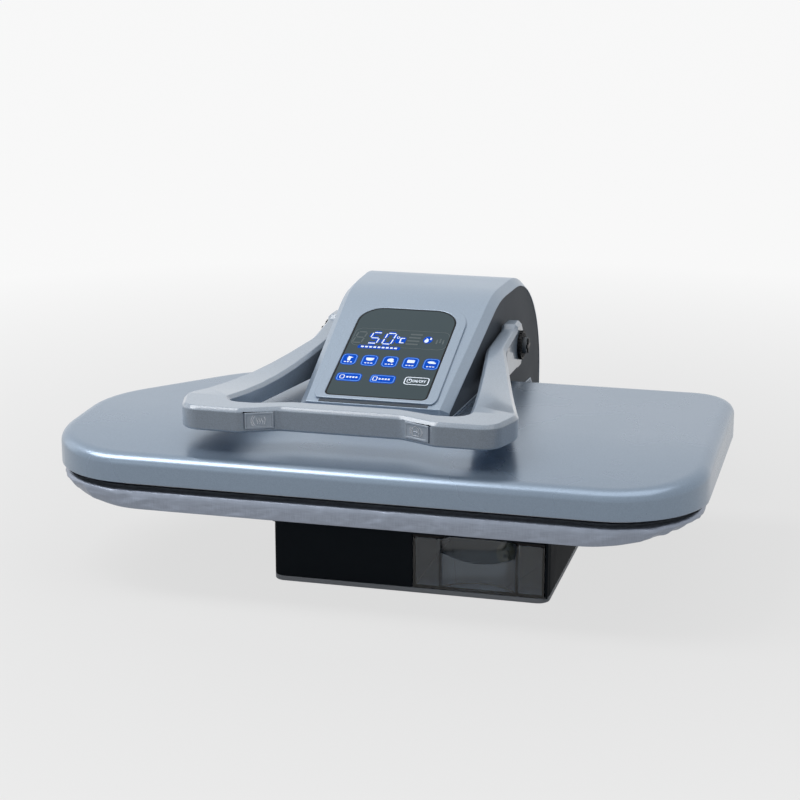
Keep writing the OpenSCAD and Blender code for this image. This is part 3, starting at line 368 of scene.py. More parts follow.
def pick(piece, kind, test):
    """Selects what passes the test, and only that."""
    mesh = bmesh.from_edit_mesh(piece.data)
    bpy.ops.mesh.select_mode(type=kind)
    bpy.ops.mesh.select_all(action="DESELECT")
    found = [e for e in {"VERT": mesh.verts, "EDGE": mesh.edges, "FACE": mesh.faces}[kind] if test(e)]
    for e in found:
        e.select_set(True)
    mesh.select_flush_mode()
    bmesh.update_edit_mesh(piece.data)


def middle(edge):
    return (edge.verts[0].co + edge.verts[1].co) / 2


def modify(piece, kind, **settings):
    """Adds a modifier with its settings and applies it."""
    choose(piece)
    made = piece.modifiers.new(kind.lower(), kind)
    for key, value in settings.items():
        setattr(made, key, value)
    bpy.ops.object.modifier_apply(modifier=made.name)


def smooth(piece, degrees=35):
    choose(piece)
    bpy.ops.object.shade_smooth_by_angle(angle=math.radians(degrees))


def settle(piece, body, coat, *nodes):
    """Puts the piece's place into its mesh, gives it its finish and body, and hides the solids it stands for."""
    choose(piece)
    apply_place()
    piece.data.materials.clear()
    piece.data.materials.append(finishes[coat] if isinstance(coat, str) else coat)
    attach(piece, body)
    if nodes:
        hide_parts(*nodes)


def merged_copy(node_name, name, merge=lambda face: True):
    """A copy of a solid in edit mode; flat neighbours among the faces that pass the test are merged."""
    piece = add_object(name, frame["nodes"][node_name].data.copy())
    open_piece(piece)
    take_all()
    bpy.ops.mesh.remove_doubles(threshold=weld)
    pick(piece, "FACE", merge)
    bpy.ops.mesh.dissolve_limited(angle_limit=flat_angle)
    return piece


def eased(node_name, name, body, coat, width, segments=2, before=None, merge=lambda face: True):
    """A merged copy of a solid, with its sharp edges rounded as a mould leaves them."""
    piece = merged_copy(node_name, name, merge)
    if before:
        before(piece)
    close_piece()
    modify(piece, "BEVEL", width=width, segments=segments, limit_method="ANGLE", angle_limit=sharp_angle,
           use_clamp_overlap=False)
    smooth(piece)
    modify(piece, "WEIGHTED_NORMAL", keep_sharp=True, weight=60)
    settle(piece, body, coat, node_name)
    print(name, len(piece.data.polygons), "faces")


def off_front(face):
    """Whether a face looks away from the front, where the openings are."""
    return face.normal.y > -0.9


# %% [markdown]
# ## The outline that cover, cloth and pad share
# Seen from above, the plate is a rectangle with its rear left corner cut away by a slanted edge. All five corners are
# rounded. By hand this is a plane, one bisect for the slant, and a vertex bevel on each corner. The bevel's profile is
# chosen so that the rounding is a true arc at any corner angle.

# %% The plate's outline
def heading(turn):
    """The way that an angle points, seen from above."""
    return Vector((math.cos(turn), math.sin(turn)))


plate_l, plate_w = 649 * mm, 356 * mm
plate_front, plate_rear = -283 * mm, 73 * mm
knee_in, nose_in = 140 * mm, 168 * mm
right_angle = math.pi / 2
slant = math.pi - math.atan2(knee_in, nose_in)
slant_out = heading(slant)
slant_far = slant_out.dot(Vector((-plate_l / 2 + knee_in, plate_rear)))


def plate_corners(inset):
    """The five corner points, inset, each with its rounding and the turn of the edge there."""
    left, right = -plate_l / 2 + inset, plate_l / 2 - inset
    front, rear = plate_front + inset, plate_rear - inset
    far = slant_far - inset
    knee = Vector(((far - slant_out.y * rear) / slant_out.x, rear))
    nose = Vector((left, (far - slant_out.x * left) / slant_out.y))
    return [(Vector((left, front)), 94 * mm - inset, right_angle),
            (Vector((right, front)), 92 * mm - inset, right_angle),
            (Vector((right, rear)), 46 * mm - inset, right_angle),
            (knee, 180 * mm - inset, slant - right_angle), (nose, 120 * mm - inset, math.pi - slant)]


def plate_blank(name, inset, z, arc_step=7 * mm):
    """A flat face with the plate's outline, inset, at the height z."""
    bpy.ops.object.select_all(action="DESELECT")
    middle_y = (plate_front + plate_rear) / 2
    bpy.ops.mesh.primitive_plane_add(size=1, location=(0, middle_y, z))
    piece = bpy.context.object
    piece.name = name
    piece.scale = (plate_l - 2 * inset, plate_w - 2 * inset, 1)
    apply_place()
    corners = plate_corners(inset)
    open_piece(piece)
    take_all()
    knee = corners[3][0]
    bpy.ops.mesh.bisect(plane_co=(knee.x, knee.y, z), plane_no=(slant_out.x, slant_out.y, 0), clear_outer=True)
    for point, radius, turn in corners:
        pick(piece, "VERT", lambda v: (v.co.xy - point).length < 1e-4)
        bulge = (1 - 1 / (2 * (1 + math.cos(turn / 2)))) ** 2
        bpy.ops.mesh.bevel(affect="VERTICES", offset=radius * math.tan(turn / 2), profile=bulge, clamp_overlap=False,
                           segments=max(4, round(radius * turn / arc_step)))
    close_piece()
    return piece


# %% [markdown]
# ## The cover of the heated plate
# The cover is a lacquered shell with an upright skirt and a rounded shoulder that catches the lamp. The blank is
# extruded up for the skirt and then inset again and again along a quarter of an ellipse. The top falls towards the
# front: rows are cut across it there, and a lattice, which is a cage of points, pulls them down, most of all at the
# front edge. Solidify gives the shell a wall.

# %% Cover
cover_z, skirt_h, cover_top, cover_wall = 113 * mm, 24 * mm, 149 * mm, 2.5 * mm
shoulder_run, shoulder_rise, shoulder_steps = 13 * mm, 12 * mm, 8
front_fall, fall_from, fall_rows = 9 * mm, -110 * mm, 8
last_row = plate_front + 16 * mm
cover = plate_blank("press_cover", 0, cover_z)
open_piece(cover)
take_all()
bpy.ops.mesh.extrude_region_move(TRANSFORM_OT_translate={"value": (0, 0, skirt_h)})
pick(cover, "FACE", lambda f: f.normal.z > 0.9 or f.calc_center_median().z > cover_z + skirt_h - 1e-5)
turned = [math.pi / 2 * k / shoulder_steps for k in range(shoulder_steps + 1)]
for a, b in zip(turned, turned[1:]):
    bpy.ops.mesh.inset(thickness=shoulder_run * (math.cos(a) - math.cos(b)),
                       depth=shoulder_rise * (math.sin(b) - math.sin(a)))
bpy.ops.mesh.inset(thickness=2 * mm, depth=0)
for k in range(fall_rows):
    take_all()
    row_y = fall_from + (last_row - fall_from) * k / fall_rows
    bpy.ops.mesh.bisect(plane_co=(0, row_y, 0), plane_no=(0, 1, 0))
pick(cover, "FACE", lambda f: f.calc_center_median().z < cover_z + 1e-5)
bpy.ops.mesh.delete(type="FACE")
face_out()
close_piece()
bpy.ops.object.add(type="LATTICE", location=(0, (plate_front + fall_from) / 2, (cover_z + cover_top) / 2))
cage = bpy.context.object
cage.scale = (plate_l, fall_from - plate_front, cover_top - cover_z)
cage.data.points_u, cage.data.points_v, cage.data.points_w = 2, fall_rows + 1, 2
cage.data.interpolation_type_u = cage.data.interpolation_type_w = "KEY_LINEAR"
cage.data.interpolation_type_v = "KEY_CATMULL_ROM"
for point in cage.data.points:
    if point.co.z > 0:
        point.co_deform.z -= front_fall / cage.scale.z * (0.5 - point.co.y) ** 2
modify(cover, "LATTICE", object=cage)
bpy.data.objects.remove(cage)
modify(cover, "SOLIDIFY", thickness=cover_wall, offset=-1, use_even_offset=True)
open_piece(cover, "EDGE")
pick(cover, "EDGE", lambda e: abs(middle(e).z - cover_z) < 1e-5 and e.calc_face_angle(0) > 1)
bpy.ops.mesh.bevel(offset=0.8 * mm, segments=3, affect="EDGES", clamp_overlap=False)
close_piece()
smooth(cover, 40)
modify(cover, "WEIGHTED_NORMAL", keep_sharp=True, weight=60)
settle(cover, "head", "cover_silver", "plate_cover")
print("cover", len(cover.data.polygons), "faces, top at", round(max(v.co.z for v in cover.data.vertices), 4))

# %% [markdown]
# ## The foam pad under the cloth
# The pad is a slab of foam with soft edges. It lies inside the cloth, far enough in to stay hidden behind the gathered
# hem, and only shows if the cloth is taken off. The same outline is extruded up, and its rims are bevelled round.

# %% Pad
pad_z, pad_t, board_in, pad_in = 97.3 * mm, 9.5 * mm, 5 * mm, 13 * mm
pad = plate_blank("board_foam", board_in + pad_in, pad_z, 10 * mm)
open_piece(pad)
take_all()
bpy.ops.mesh.extrude_region_move(TRANSFORM_OT_translate={"value": (0, 0, pad_t)})
face_out()
pick(pad, "EDGE", lambda e: e.calc_face_angle(0) > 1)
bpy.ops.mesh.bevel(offset=3 * mm, segments=4, affect="EDGES", clamp_overlap=False)
close_piece()
smooth(pad, 50)
finishes["pad_foam"] = finish("pad_foam", grained, {**two_tones(0.62, 0.58, 0.45), "Grains": 600.0, "Gloss": 0.85,
                                                    "Dull": 0.95, "Depth": 0.5})
settle(pad, "base", "pad_foam", "board_pad")
print("pad", len(pad.data.polygons), "faces")

# %% [markdown]
# ## The cloth over the pad
# The cover is a metallised cloth, pulled over the pad and gathered under the edge by a cord in its hem. A simulated
# cloth shows the small slanting wrinkles that such a skirt has: it is made of rows round the outline, its top and hem
# are pinned, and then the cloth between them grows by a few hundredths, so it has to buckle.

# %% Group: cloth weave
woven, given, leave = new_group("cloth_weave", [
    ("Dark", colour, (0.2, 0.2, 0.25, 1)), ("Light", colour, (0.3, 0.3, 0.36, 1)), ("Depth", number, 0.2)])
place = node(woven, "ShaderNodeTexCoord").outputs["UV"]
weave = node(woven, "ShaderNodeMath", operation="ADD")
for k, run in enumerate(((90, 1100, 1), (1100, 90, 1))):
    turn = texture(woven, "ShaderNodeMapping", place)
    turn.inputs["Scale"].default_value = run
    thread = texture(woven, "ShaderNodeTexNoise", turn.outputs["Vector"], scale=1.0, detail=2.0)
    woven.links.new(thread.outputs["Fac"], weave.inputs[k])
threads = weave.outputs["Value"]
tint, rough = spread(woven, threads, 0.7, 1.3, 0.0, 1.0), spread(woven, threads, 0.7, 1.3, 0.3, 0.42)
close_group(woven, given, leave, tint, rough, threads, 0.0005, given["Depth"])
finishes["silver_cloth"] = finish("silver_cloth", woven, {**two_tones(0.29, 0.325, 0.395, 0.1), "Depth": 0.2},
                                  Metallic=0.75)

# %% Rows round the outline
board_top, hem_z, hem_rise, hem_run, drawn_in = 108 * mm, 88 * mm, 9 * mm, 105 * mm, 11 * mm
bulge_out, ragged_by, pull_from, pull_run = 6 * mm, 2.2 * mm, 190 * mm, 90 * mm
arc_columns = [28, 28, 16, 26, 14]
edge_columns = [92, 40, 74, 44, 22]
edge_turns = [math.pi, 1.5 * math.pi, 2 * math.pi, 0.5 * math.pi, slant]


def rim_row(inset):
    """Points round the outline, each with the way out; every row has the same number."""
    row, arcs = [], []
    for (point, radius, turn), start in zip(plate_corners(inset), edge_turns):
        radius = max(radius, 2 * mm)
        start = start % (2 * math.pi)
        first, last = heading(start), heading(start + turn)
        arcs.append((point - radius * (first + last) / (1 + math.cos(turn)), radius, start, turn))
    for k, (hub, radius, start, turn) in enumerate(arcs):
        for i in range(arc_columns[k] + 1):
            out = heading(start + turn * i / arc_columns[k])
            row.append((hub + radius * out, out))
        next_hub, next_radius, next_start, _ = arcs[(k + 1) % 5]
        out = heading(next_start)
        here, there = row[-1][0], next_hub + next_radius * out
        for i in range(1, edge_columns[k]):
            row.append((here.lerp(there, i / edge_columns[k]), out))
    return row


def end_share(x):
    """How far a place lies in the part of the skirt that is gathered, from 0 to 1 at the very end."""
    return min(1, max(0, (abs(x) - plate_l / 2 + hem_run) / hem_run))


def cloth_bulge(x):
    """The cloth stands out past the pad, except at the two ends."""
    return bulge_out * (1 - end_share(x)) ** 0.5


def hem_height(x, y):
    """The hem rises towards the two ends, and is a little ragged there."""
    share = end_share(x)
    ragged = ragged_by * share * noise.noise(Vector((x * 70, y * 70, 3.1)))
    return hem_z + hem_rise * (1 - math.cos(math.pi * share)) / 2 + ragged


def pushed(point, out, push, z):
    return (point.x + out.x * push, point.y + out.y * push, z)


# %% Cloth mesh
roll, roll_rows, skirt_rows = 5 * mm, 4, 8
cloth_rows = [[(p.x, p.y, board_top) for p, out in rim_row(board_in + d * mm)] for d in (125, 85, 55, 32, 18, 9)]
for k in range(roll_rows + 1):
    a = right_angle * k / roll_rows
    cloth_rows.append([pushed(p, out, cloth_bulge(p.x) * k / roll_rows, board_top - roll * (1 - math.cos(a)))
                       for p, out in rim_row(board_in + roll * (1 - math.sin(a)))])
pinned_top = len(cloth_rows) - 1
rim_line = rim_row(board_in)
for k in range(1, skirt_rows + 1):
    line, down = [], k / skirt_rows
    for p, out in rim_line:
        end_pull = min(1, max(0, (abs(p.x) - pull_from) / pull_run))
        spot = Vector((p.x * 55 + k * 0.35, p.y * 55, k * 0.2))
        push = (0.6 + 1.8 * end_pull) * mm * noise.noise(spot) + 0.5 * mm * math.sin(math.pi * down)
        push += cloth_bulge(p.x) - drawn_in * end_share(p.x) * down ** 1.5
        line.append(pushed(p, out, push, board_top - roll + (hem_height(p.x, p.y) - board_top + roll) * down))
    cloth_rows.append(line)
hem_row = len(cloth_rows) - 1
for back, up in ((1.3, -0.2), (2.2, 0.9)):
    cloth_rows.append([pushed(p, out, cloth_bulge(p.x) - drawn_in * end_share(p.x) - back * mm,
                              hem_height(p.x, p.y) + up * mm) for p, out in rim_line])
columns = len(rim_line)
cloth_points = [point for row in cloth_rows for point in row]
cloth_faces = []
for k in range(len(cloth_rows) - 1):
    for i in range(columns):
        j = (i + 1) % columns
        cloth_faces.append((k * columns + i, (k + 1) * columns + i, (k + 1) * columns + j, k * columns + j))
cloth_mesh = bpy.data.meshes.new("board_cloth")
cloth_mesh.from_pydata(cloth_points, [], cloth_faces)
cloth = add_object("board_cloth", cloth_mesh)
steps = [0.0]
for a, b in zip(rim_line, rim_line[1:] + rim_line[:1]):
    steps.append(steps[-1] + (b[0] - a[0]).length)
drops = [0.0]
for k in range(1, len(cloth_rows)):
    drops.append(drops[-1] + (Vector(cloth_rows[k][0]) - Vector(cloth_rows[k - 1][0])).length)
weave_map = cloth_mesh.uv_layers.new(name="weave")
for face in cloth_mesh.polygons:
    wraps = max(v % columns for v in face.vertices) - min(v % columns for v in face.vertices) > 1
    for corner in face.loop_indices:
        v = cloth_mesh.loops[corner].vertex_index
        column = columns if wraps and v % columns == 0 else v % columns
        weave_map.data[corner].uv = (steps[column], drops[v // columns])
print("cloth", columns, "columns and", len(cloth_rows), "rows")

# %% Cloth simulation
last_frame, side_limit, in_limit, out_limit = 22, 1.6 * mm, 0.7 * mm, 2.4 * mm
before = [v.co.copy() for v in cloth_mesh.vertices]
pins = cloth.vertex_groups.new(name="pins")
for k in range(len(cloth_rows)):
    if k < pinned_top or k >= hem_row:
        pins.add(list(range(k * columns, (k + 1) * columns)), 1.0, "REPLACE")
choose(cloth)
sim = cloth.modifiers.new("cloth", "CLOTH")
for key, value in dict(vertex_group_mass="pins", quality=6, mass=0.2, tension_stiffness=25,
                       compression_stiffness=25, shear_stiffness=10, bending_stiffness=0.02,
                       shrink_min=-0.045).items():
    setattr(sim.settings, key, value)
sim.settings.effector_weights.gravity = 0.2
sim.collision_settings.use_collision = False
sim.point_cache.frame_start, sim.point_cache.frame_end = 1, last_frame
for step in range(1, last_frame + 1):
    scene.frame_set(step)
bpy.ops.object.modifier_apply(modifier="cloth")
scene.frame_set(1)
ways = [out for p, out in rim_line]
for v, old in zip(cloth.data.vertices, before):
    out = ways[v.index % columns].to_3d()
    move = v.co - old
    away = move.dot(out)
    rest = move - out * away
    if rest.length > side_limit:
        rest *= side_limit / rest.length
    v.co = old + rest + out * max(-in_limit, min(out_limit, away))
    v.co.z = min(v.co.z, board_top)
widest = max((v.co - b).length for v, b in zip(cloth.data.vertices, before))
print("cloth simulated, widest move", round(widest / mm, 2), "mm")

# %% Cloth finish
modify(cloth, "SUBSURF", levels=1, render_levels=1)
open_piece(cloth, "EDGE")
pick(cloth, "EDGE", lambda e: e.is_boundary and middle(e).z > board_top - 1 * mm)
bpy.ops.mesh.edge_face_add()
bpy.ops.mesh.normals_make_consistent(inside=False)
close_piece()
middle_face = max(cloth.data.polygons, key=lambda face: face.area)
for corner in middle_face.loop_indices:
    cloth.data.uv_layers[0].data[corner].uv = cloth.data.vertices[cloth.data.loops[corner].vertex_index].co.xy
modify(cloth, "SOLIDIFY", thickness=0.7 * mm, offset=-1)
smooth(cloth, 60)
settle(cloth, "base", "silver_cloth", "board_cover")

# %% [markdown]
# ## Base, tray and tank
# These are moulded pieces whose solids already have the right form. A mould never leaves a knife edge, so each one is
# copied, merged into clean faces and given small rounded edges that catch the light. Faces round an opening are not
# merged: one large face with a hole in it would close the hole when its edges are rounded. The tall posts at the tank's
# front are rounded more.

# %% Base and tank
def round_posts(piece):
    """Rounds the tall upright edges at the tank's front, which then catch the light."""
    pick(piece, "EDGE", lambda e: abs((e.verts[0].co - e.verts[1].co).normalized().z) > 0.99
         and e.calc_length() > 20 * mm and e.calc_face_angle(0) > 1 and middle(e).y < -205 * mm)
    bpy.ops.mesh.bevel(offset=2.5 * mm, segments=5, affect="EDGES", clamp_overlap=True)


eased("base_housing", "black_housing", "base", "housing_black", 1.0 * mm, segments=3, merge=off_front)
eased("base_tray", "grey_tray", "base", "tray_grey", 0.9 * mm, segments=3)
eased("water_tank", "clear_tank", "tank", "clear_plastic", 1.0 * mm, segments=4, before=round_posts,
      merge=lambda face: face.normal.z < 0.9)
eased("tank_lid", "black_lid", "tank", "black_plastic", 0.4 * mm)

# %% [markdown]
# ## Hood, bezel and glass
# The hood is eased in the same way, and the narrow face below its panel is sunk a little. The bezel's lower bar is cut
# down with a block, a dark strip of painted shade lies in the slot that this leaves, and a thin black line runs round
# the glass.

# %% Hood
def recess_nose(piece):
    """Sinks the narrow upright face below the bezel."""
    pick(piece, "FACE", lambda f: f.normal.y < -0.99 and f.calc_center_median().y < -122.9 * mm)
    bpy.ops.mesh.inset(thickness=1.6 * mm, depth=0)
    bpy.ops.mesh.inset(thickness=0.2 * mm, depth=-3 * mm)


eased("hood_shell", "silver_hood", "head", "hood_silver", 0.45 * mm, before=recess_nose,
      merge=lambda face: abs(face.normal.x) < 0.9)
panel_plane = Matrix.Translation(Vector((-23.5, -123, 163)) * mm) @ Matrix.Rotation(math.radians(21), 4, "X")


def panel_block(name, low, high):
    """A box in the panel's own frame: X across, Y up the slope, Z out of the hood."""
    bpy.ops.object.select_all(action="DESELECT")
    low, high = Vector(low) * mm, Vector(high) * mm
    bpy.ops.mesh.primitive_cube_add(size=1, location=(low + high) / 2)
    block = bpy.context.object
    block.name = name
    block.scale = high - low
    apply_place()
    block.matrix_world = panel_plane
    return block


def trim_bezel(piece):
    close_piece()
    cutter = panel_block("cutter", (-70, -10, -1.5), (70, 5.5, 10))
    modify(piece, "BOOLEAN", object=cutter, operation="DIFFERENCE", solver="EXACT")
    bpy.data.objects.remove(cutter)
    open_piece(piece)


eased("control_bezel", "silver_bezel", "head", "hood_silver", 0.9 * mm, segments=3, before=trim_bezel)
# Painted shade: a dark gunmetal strip stands in for the shade in the slot under the cut-down bezel.
slot_shade_strip = panel_block("bezel_slot_shade", (-57, 0.6, -0.5), (57, 5, 0.5))
modify(slot_shade_strip, "BEVEL", width=0.3 * mm, segments=2)
smooth(slot_shade_strip)
settle(slot_shade_strip, "head", "panel_gunmetal")
eased("control_glass", "dark_glass", "head", "panel_glass", 0.3 * mm)
rim = merged_copy("control_glass", "glass_rim")
slope_out = panel_plane.to_3x3() @ Vector((0, 0, 1))
pick(rim, "FACE", lambda f: f.normal.dot(slope_out) < 0.99)
bpy.ops.mesh.delete(type="FACE")
take_all()
bpy.ops.mesh.inset(thickness=0.3 * mm, depth=0)
bpy.ops.mesh.inset(thickness=1.1 * mm, depth=0)
bpy.ops.mesh.delete(type="FACE")
close_piece()
modify(rim, "SOLIDIFY", thickness=0.06 * mm, offset=1)
settle(rim, "head", "black_plastic")

# %% [markdown]
# ## The handle
# The handle is cast with a broad chamfer along its upper edges and a small one below. On a copy of the solid, an edge
# is chamfered where an upright wall meets a face of the side view. The front keeps its small faces: one merged face
# round the button openings would close half of each when its edges are rounded.

# %% Handle
handle_pivot = Vector((-23.5, 93, 182)) * mm
bore_r, grip_rear, pocket_low, pocket_high = 10 * mm, -225 * mm, 164 * mm, 186 * mm
upper_cut, lower_cut = 3.6 * mm, 1.8 * mm


def is_deck(face):
    return abs(face.normal.x) < 0.003 and abs(face.normal.z) > 0.1


def deck_edge(edge, up):
    """Whether an upright wall meets an upper or a lower face here, outside the bore and the button openings."""
    if len(edge.link_faces) != 2:
        return False
    a, b = edge.link_faces
    for wall, deck in ((a, b), (b, a)):
        if abs(wall.normal.z) < 0.02 and is_deck(deck) and (deck.normal.z > 0) == up:
            spot = middle(edge)
            in_bore = math.hypot(spot.y - handle_pivot.y, spot.z - handle_pivot.z) < bore_r
            in_pocket = spot.y < grip_rear and pocket_low < spot.z < pocket_high
            return not in_bore and not in_pocket
    return False


def cut_handle(piece):
    for up, cut in ((True, upper_cut), (False, lower_cut)):
        pick(piece, "EDGE", lambda e: deck_edge(e, up))
        bpy.ops.mesh.bevel(offset=cut, segments=1, affect="EDGES", clamp_overlap=False)


eased("handle_frame", "silver_handle", "handle", "handle_silver", 0.7 * mm, before=cut_handle, merge=off_front)

# %% [markdown]
# ## The steam buttons
# Each button has a raised border and a raised symbol. The solid already has the border, so its copy only needs soft
# edges. The symbols are drawn as thin lines in the button's own plane, made into wires, and laid half into the face.

# %% Button symbols
jog_angle = math.atan2(16, 36)


def button_plane(side):
    """From the button's own frame, X along its face and Y into the bar, to the part's frame."""
    seat = Vector((-23.5 + side * 78, -247, 175)) * mm
    return Matrix.Translation(seat) @ Matrix.Rotation(-side * jog_angle, 4, "Z")


def wires(name, lines, radius, plane, depth):
    """Thin round wires along lines of points (across, up), as one mesh."""
    path = bpy.data.curves.new(name, "CURVE")
    path.dimensions = "3D"
    path.bevel_depth = radius
    path.bevel_resolution = 1
    path.use_fill_caps = True
    for line in lines:
        spline = path.splines.new("POLY")
        spline.points.add(len(line) - 1)
        for point, (x, z) in zip(spline.points, line):
            point.co = (x * mm, depth, z * mm, 1)
    choose(add_object(name, path))
    bpy.ops.object.convert(target="MESH")
    piece = bpy.context.object
    piece.matrix_world = plane
    return piece


def bow(x, z, r, start, end, n=8):
    """Points along an arc, in degrees."""
    turns = [math.radians(start + (end - start) * i / n) for i in range(n + 1)]
    return [(x + r * math.cos(a), z + r * math.sin(a)) for a in turns]


steam_lines = [[(x + 0.7 * math.sin(k), -3 + k * 0.95) for k in range(7)] for x in (-1.8, 0.6, 3.0)]
left_symbol = steam_lines + [bow(0, 0, 6, 130, 230), bow(0, 0, 7.6, 135, 225), bow(0, 0, 6, -40, 40)]
right_symbol = [[(-5, -4), (-5, 3), (-1, 5.4), (3, 3), (3, -4), (-5, -4)], [(-3.4, 0), (1.4, 0)],
                [(0, 1.6), (1.6, 0), (0, -1.6)], [(4.6, 4), (7.2, 0), (4.6, -4)], [(-7.2, 3.4), (-7.2, -3.4)]]
for side, label, lines in ((-1, "left", left_symbol), (1, "right", right_symbol)):
    eased("steam_button_" + label, "grey_button_" + label, "steam_" + label, "button_grey", 0.45 * mm)
    symbol = wires("button_symbol_" + label, lines, 0.45 * mm, button_plane(side), -1.0 * mm)
    smooth(symbol, 50)
    settle(symbol, "steam_" + label, "bright_steel")

# %% [markdown]
# ## Pivot hardware
# Where the handle turns, a black ribbed washer lies against each arm, then a dark bolt with a black cross on its head.
# The washer is a cylinder with every second side face pushed out. The bolt's head is a cylinder with a domed face, and
# its cross is two bars that are extruded from one cube.

# %% Washers, bolts and caps
arm_half, washer_r, washer_t, washer_sides = 107.5 * mm, 16 * mm, 4 * mm, 48
bolt_r, bolt_t, cap_t, cap_w, cap_reach = 9 * mm, 4.5 * mm, 1.5 * mm, 4 * mm, 8 * mm


def drum(name, radius, depth, x, sides):
    """A cylinder that lies along X, its middle at x on the handle's pivot."""
    bpy.ops.object.select_all(action="DESELECT")
    bpy.ops.mesh.primitive_cylinder_add(vertices=sides, radius=radius, depth=depth, rotation=(0, math.pi / 2, 0),
                                        location=(x, handle_pivot.y, handle_pivot.z))
    bpy.context.object.name = name
    apply_place()
    return bpy.context.object


def turn_of(point, sides):
    """Which side face of a drum a point belongs to."""
    turn = math.atan2(point.z - handle_pivot.z, point.y - handle_pivot.y) / (2 * math.pi) % 1
    return int(math.floor(turn * sides + 0.001))


for side, label in ((-1, "left"), (1, "right")):
    seat = handle_pivot.x + side * (arm_half + 0.3 * mm)
    washer = drum("ribbed_washer_" + label, washer_r - 0.9 * mm, washer_t - 0.1 * mm, seat + side * washer_t / 2,
                  washer_sides)
    open_piece(washer)
    pick(washer, "FACE", lambda f: abs(f.normal.x) < 0.1
         and turn_of(f.calc_center_median(), washer_sides) % 2 == 0)
    bpy.ops.mesh.inset(thickness=0.12 * mm, depth=0.85 * mm, use_individual=True)
    pick(washer, "FACE", lambda f: f.normal.x * side > 0.9)
    bpy.ops.mesh.inset(thickness=2.2 * mm, depth=0)
    bpy.ops.mesh.inset(thickness=0.5 * mm, depth=-0.8 * mm)
    close_piece()
    modify(washer, "BEVEL", width=0.15 * mm, segments=1, limit_method="ANGLE", angle_limit=math.radians(40))
    smooth(washer)
    settle(washer, "head", "black_plastic", "handle_washers")
    head = drum("pivot_bolt_" + label, bolt_r, bolt_t, seat + side * (washer_t + bolt_t / 2), 40)
    open_piece(head)
    pick(head, "FACE", lambda f: f.normal.x * side > 0.9)
    bpy.ops.mesh.bevel(offset=1.2 * mm, segments=4, affect="EDGES")
    pick(head, "FACE", lambda f: f.normal.x * side > 0.99)
    bpy.ops.mesh.inset(thickness=2.4 * mm, depth=0)
    bpy.ops.mesh.inset(thickness=0.4 * mm, depth=-0.5 * mm)
    close_piece()
    smooth(head, 40)
    settle(head, "head", "frame_steel", "handle_bolts")
    bpy.ops.object.select_all(action="DESELECT")
    cap_x = seat + side * (washer_t + bolt_t + cap_t / 2)
    bpy.ops.mesh.primitive_cube_add(size=1, location=(cap_x, handle_pivot.y, handle_pivot.z),
                                    scale=(cap_t, cap_w, cap_w))
    cross = bpy.context.object
    cross.name = "bolt_cross_" + label
    apply_place()
    open_piece(cross)
    pick(cross, "FACE", lambda f: abs(f.normal.x) < 0.1)
    bpy.ops.mesh.extrude_faces_move(TRANSFORM_OT_shrink_fatten={"value": cap_reach - cap_w / 2})
    close_piece()
    modify(cross, "BEVEL", width=0.5 * mm, segments=2, limit_method="ANGLE", angle_limit=math.radians(40))
    smooth(cross)
    settle(cross, "head", "black_plastic", "bolt_caps")
print("pivot hardware ready")

# %% [markdown]
# ## Marks behind the control glass
# The panel shows lit numbers, five keys for kinds of cloth, three long keys and a few marks that are off. They are
# printed behind the glass and lit, so here they are very thin tiles just above it. Every tile starts as a plane or a
# circle in the panel's own frame: X across, Y up the slope. Tiles of one colour share one mesh, laid on the slope.

# %% Helpers for tiles
glass_z, tile_t = 1.62 * mm, 0.04 * mm


def tile_sheet(name):
    """An empty mesh that tiles are added to, in edit mode."""
    piece = add_object(name, bpy.data.meshes.new(name))
    open_piece(piece)
    return piece


def fit_tile(spot, w, h, corner, turn):
    """Gives the selected unit tile its size, rounded corners and turn."""
    bpy.ops.transform.resize(value=(w, h, 1), center_override=spot)
    if corner:
        bpy.ops.mesh.bevel(affect="VERTICES", offset=corner * mm, segments=5, clamp_overlap=False)
    if turn:
        bpy.ops.transform.rotate(value=math.radians(-turn), orient_axis="Z", center_override=spot)


def tile(x, y, w, h, corner=0, turn=0):
    """A rectangle, in millimetres, with rounded corners; it stays selected."""
    bpy.ops.mesh.select_all(action="DESELECT")
    spot = (x * mm, y * mm, 0)
    bpy.ops.mesh.primitive_plane_add(size=1 * mm, location=spot)
    fit_tile(spot, w, h, corner, turn)


def frame_tile(x, y, w, h, corner, line):
    """A rounded outline of the given line width."""
    tile(x, y, w, h, corner)
    bpy.ops.mesh.inset(thickness=line * mm, depth=0)
    bpy.ops.mesh.delete(type="FACE")


def disc(x, y, w, h, sides=20, turn=0):
    """An oval, or with three sides a triangle, in millimetres."""
    bpy.ops.mesh.select_all(action="DESELECT")
    spot = (x * mm, y * mm, 0)
    bpy.ops.mesh.primitive_circle_add(vertices=sides, radius=0.5 * mm, fill_type="NGON", location=spot)
    fit_tile(spot, w, h, 0, turn)


def lay(piece, rise, coat):
    """Lays a sheet of tiles on the slope, a little above the glass, and gives it a thickness."""
    face_out()
    mesh = bmesh.from_edit_mesh(piece.data)
    if sum(f.normal.z for f in mesh.faces) < 0:
        bpy.ops.mesh.flip_normals()
    close_piece()
    modify(piece, "SOLIDIFY", thickness=tile_t, offset=1)
    piece.matrix_world = panel_plane @ Matrix.Translation((0, 0, glass_z + rise))
    settle(piece, "head", coat)
    print(piece.name, len(piece.data.polygons), "faces")


# %% Colours of the marks
def lit_mark(name, tones, glow, strength):
    """A mark that shines a little in the given colour."""
    return finish(name, grained, {**tones, "Gloss": 0.4, "Dull": 0.5, "Depth": 0.0}, Specular_IOR_Level=0.02,
                  Emission_Color=glow, Emission_Strength=strength)


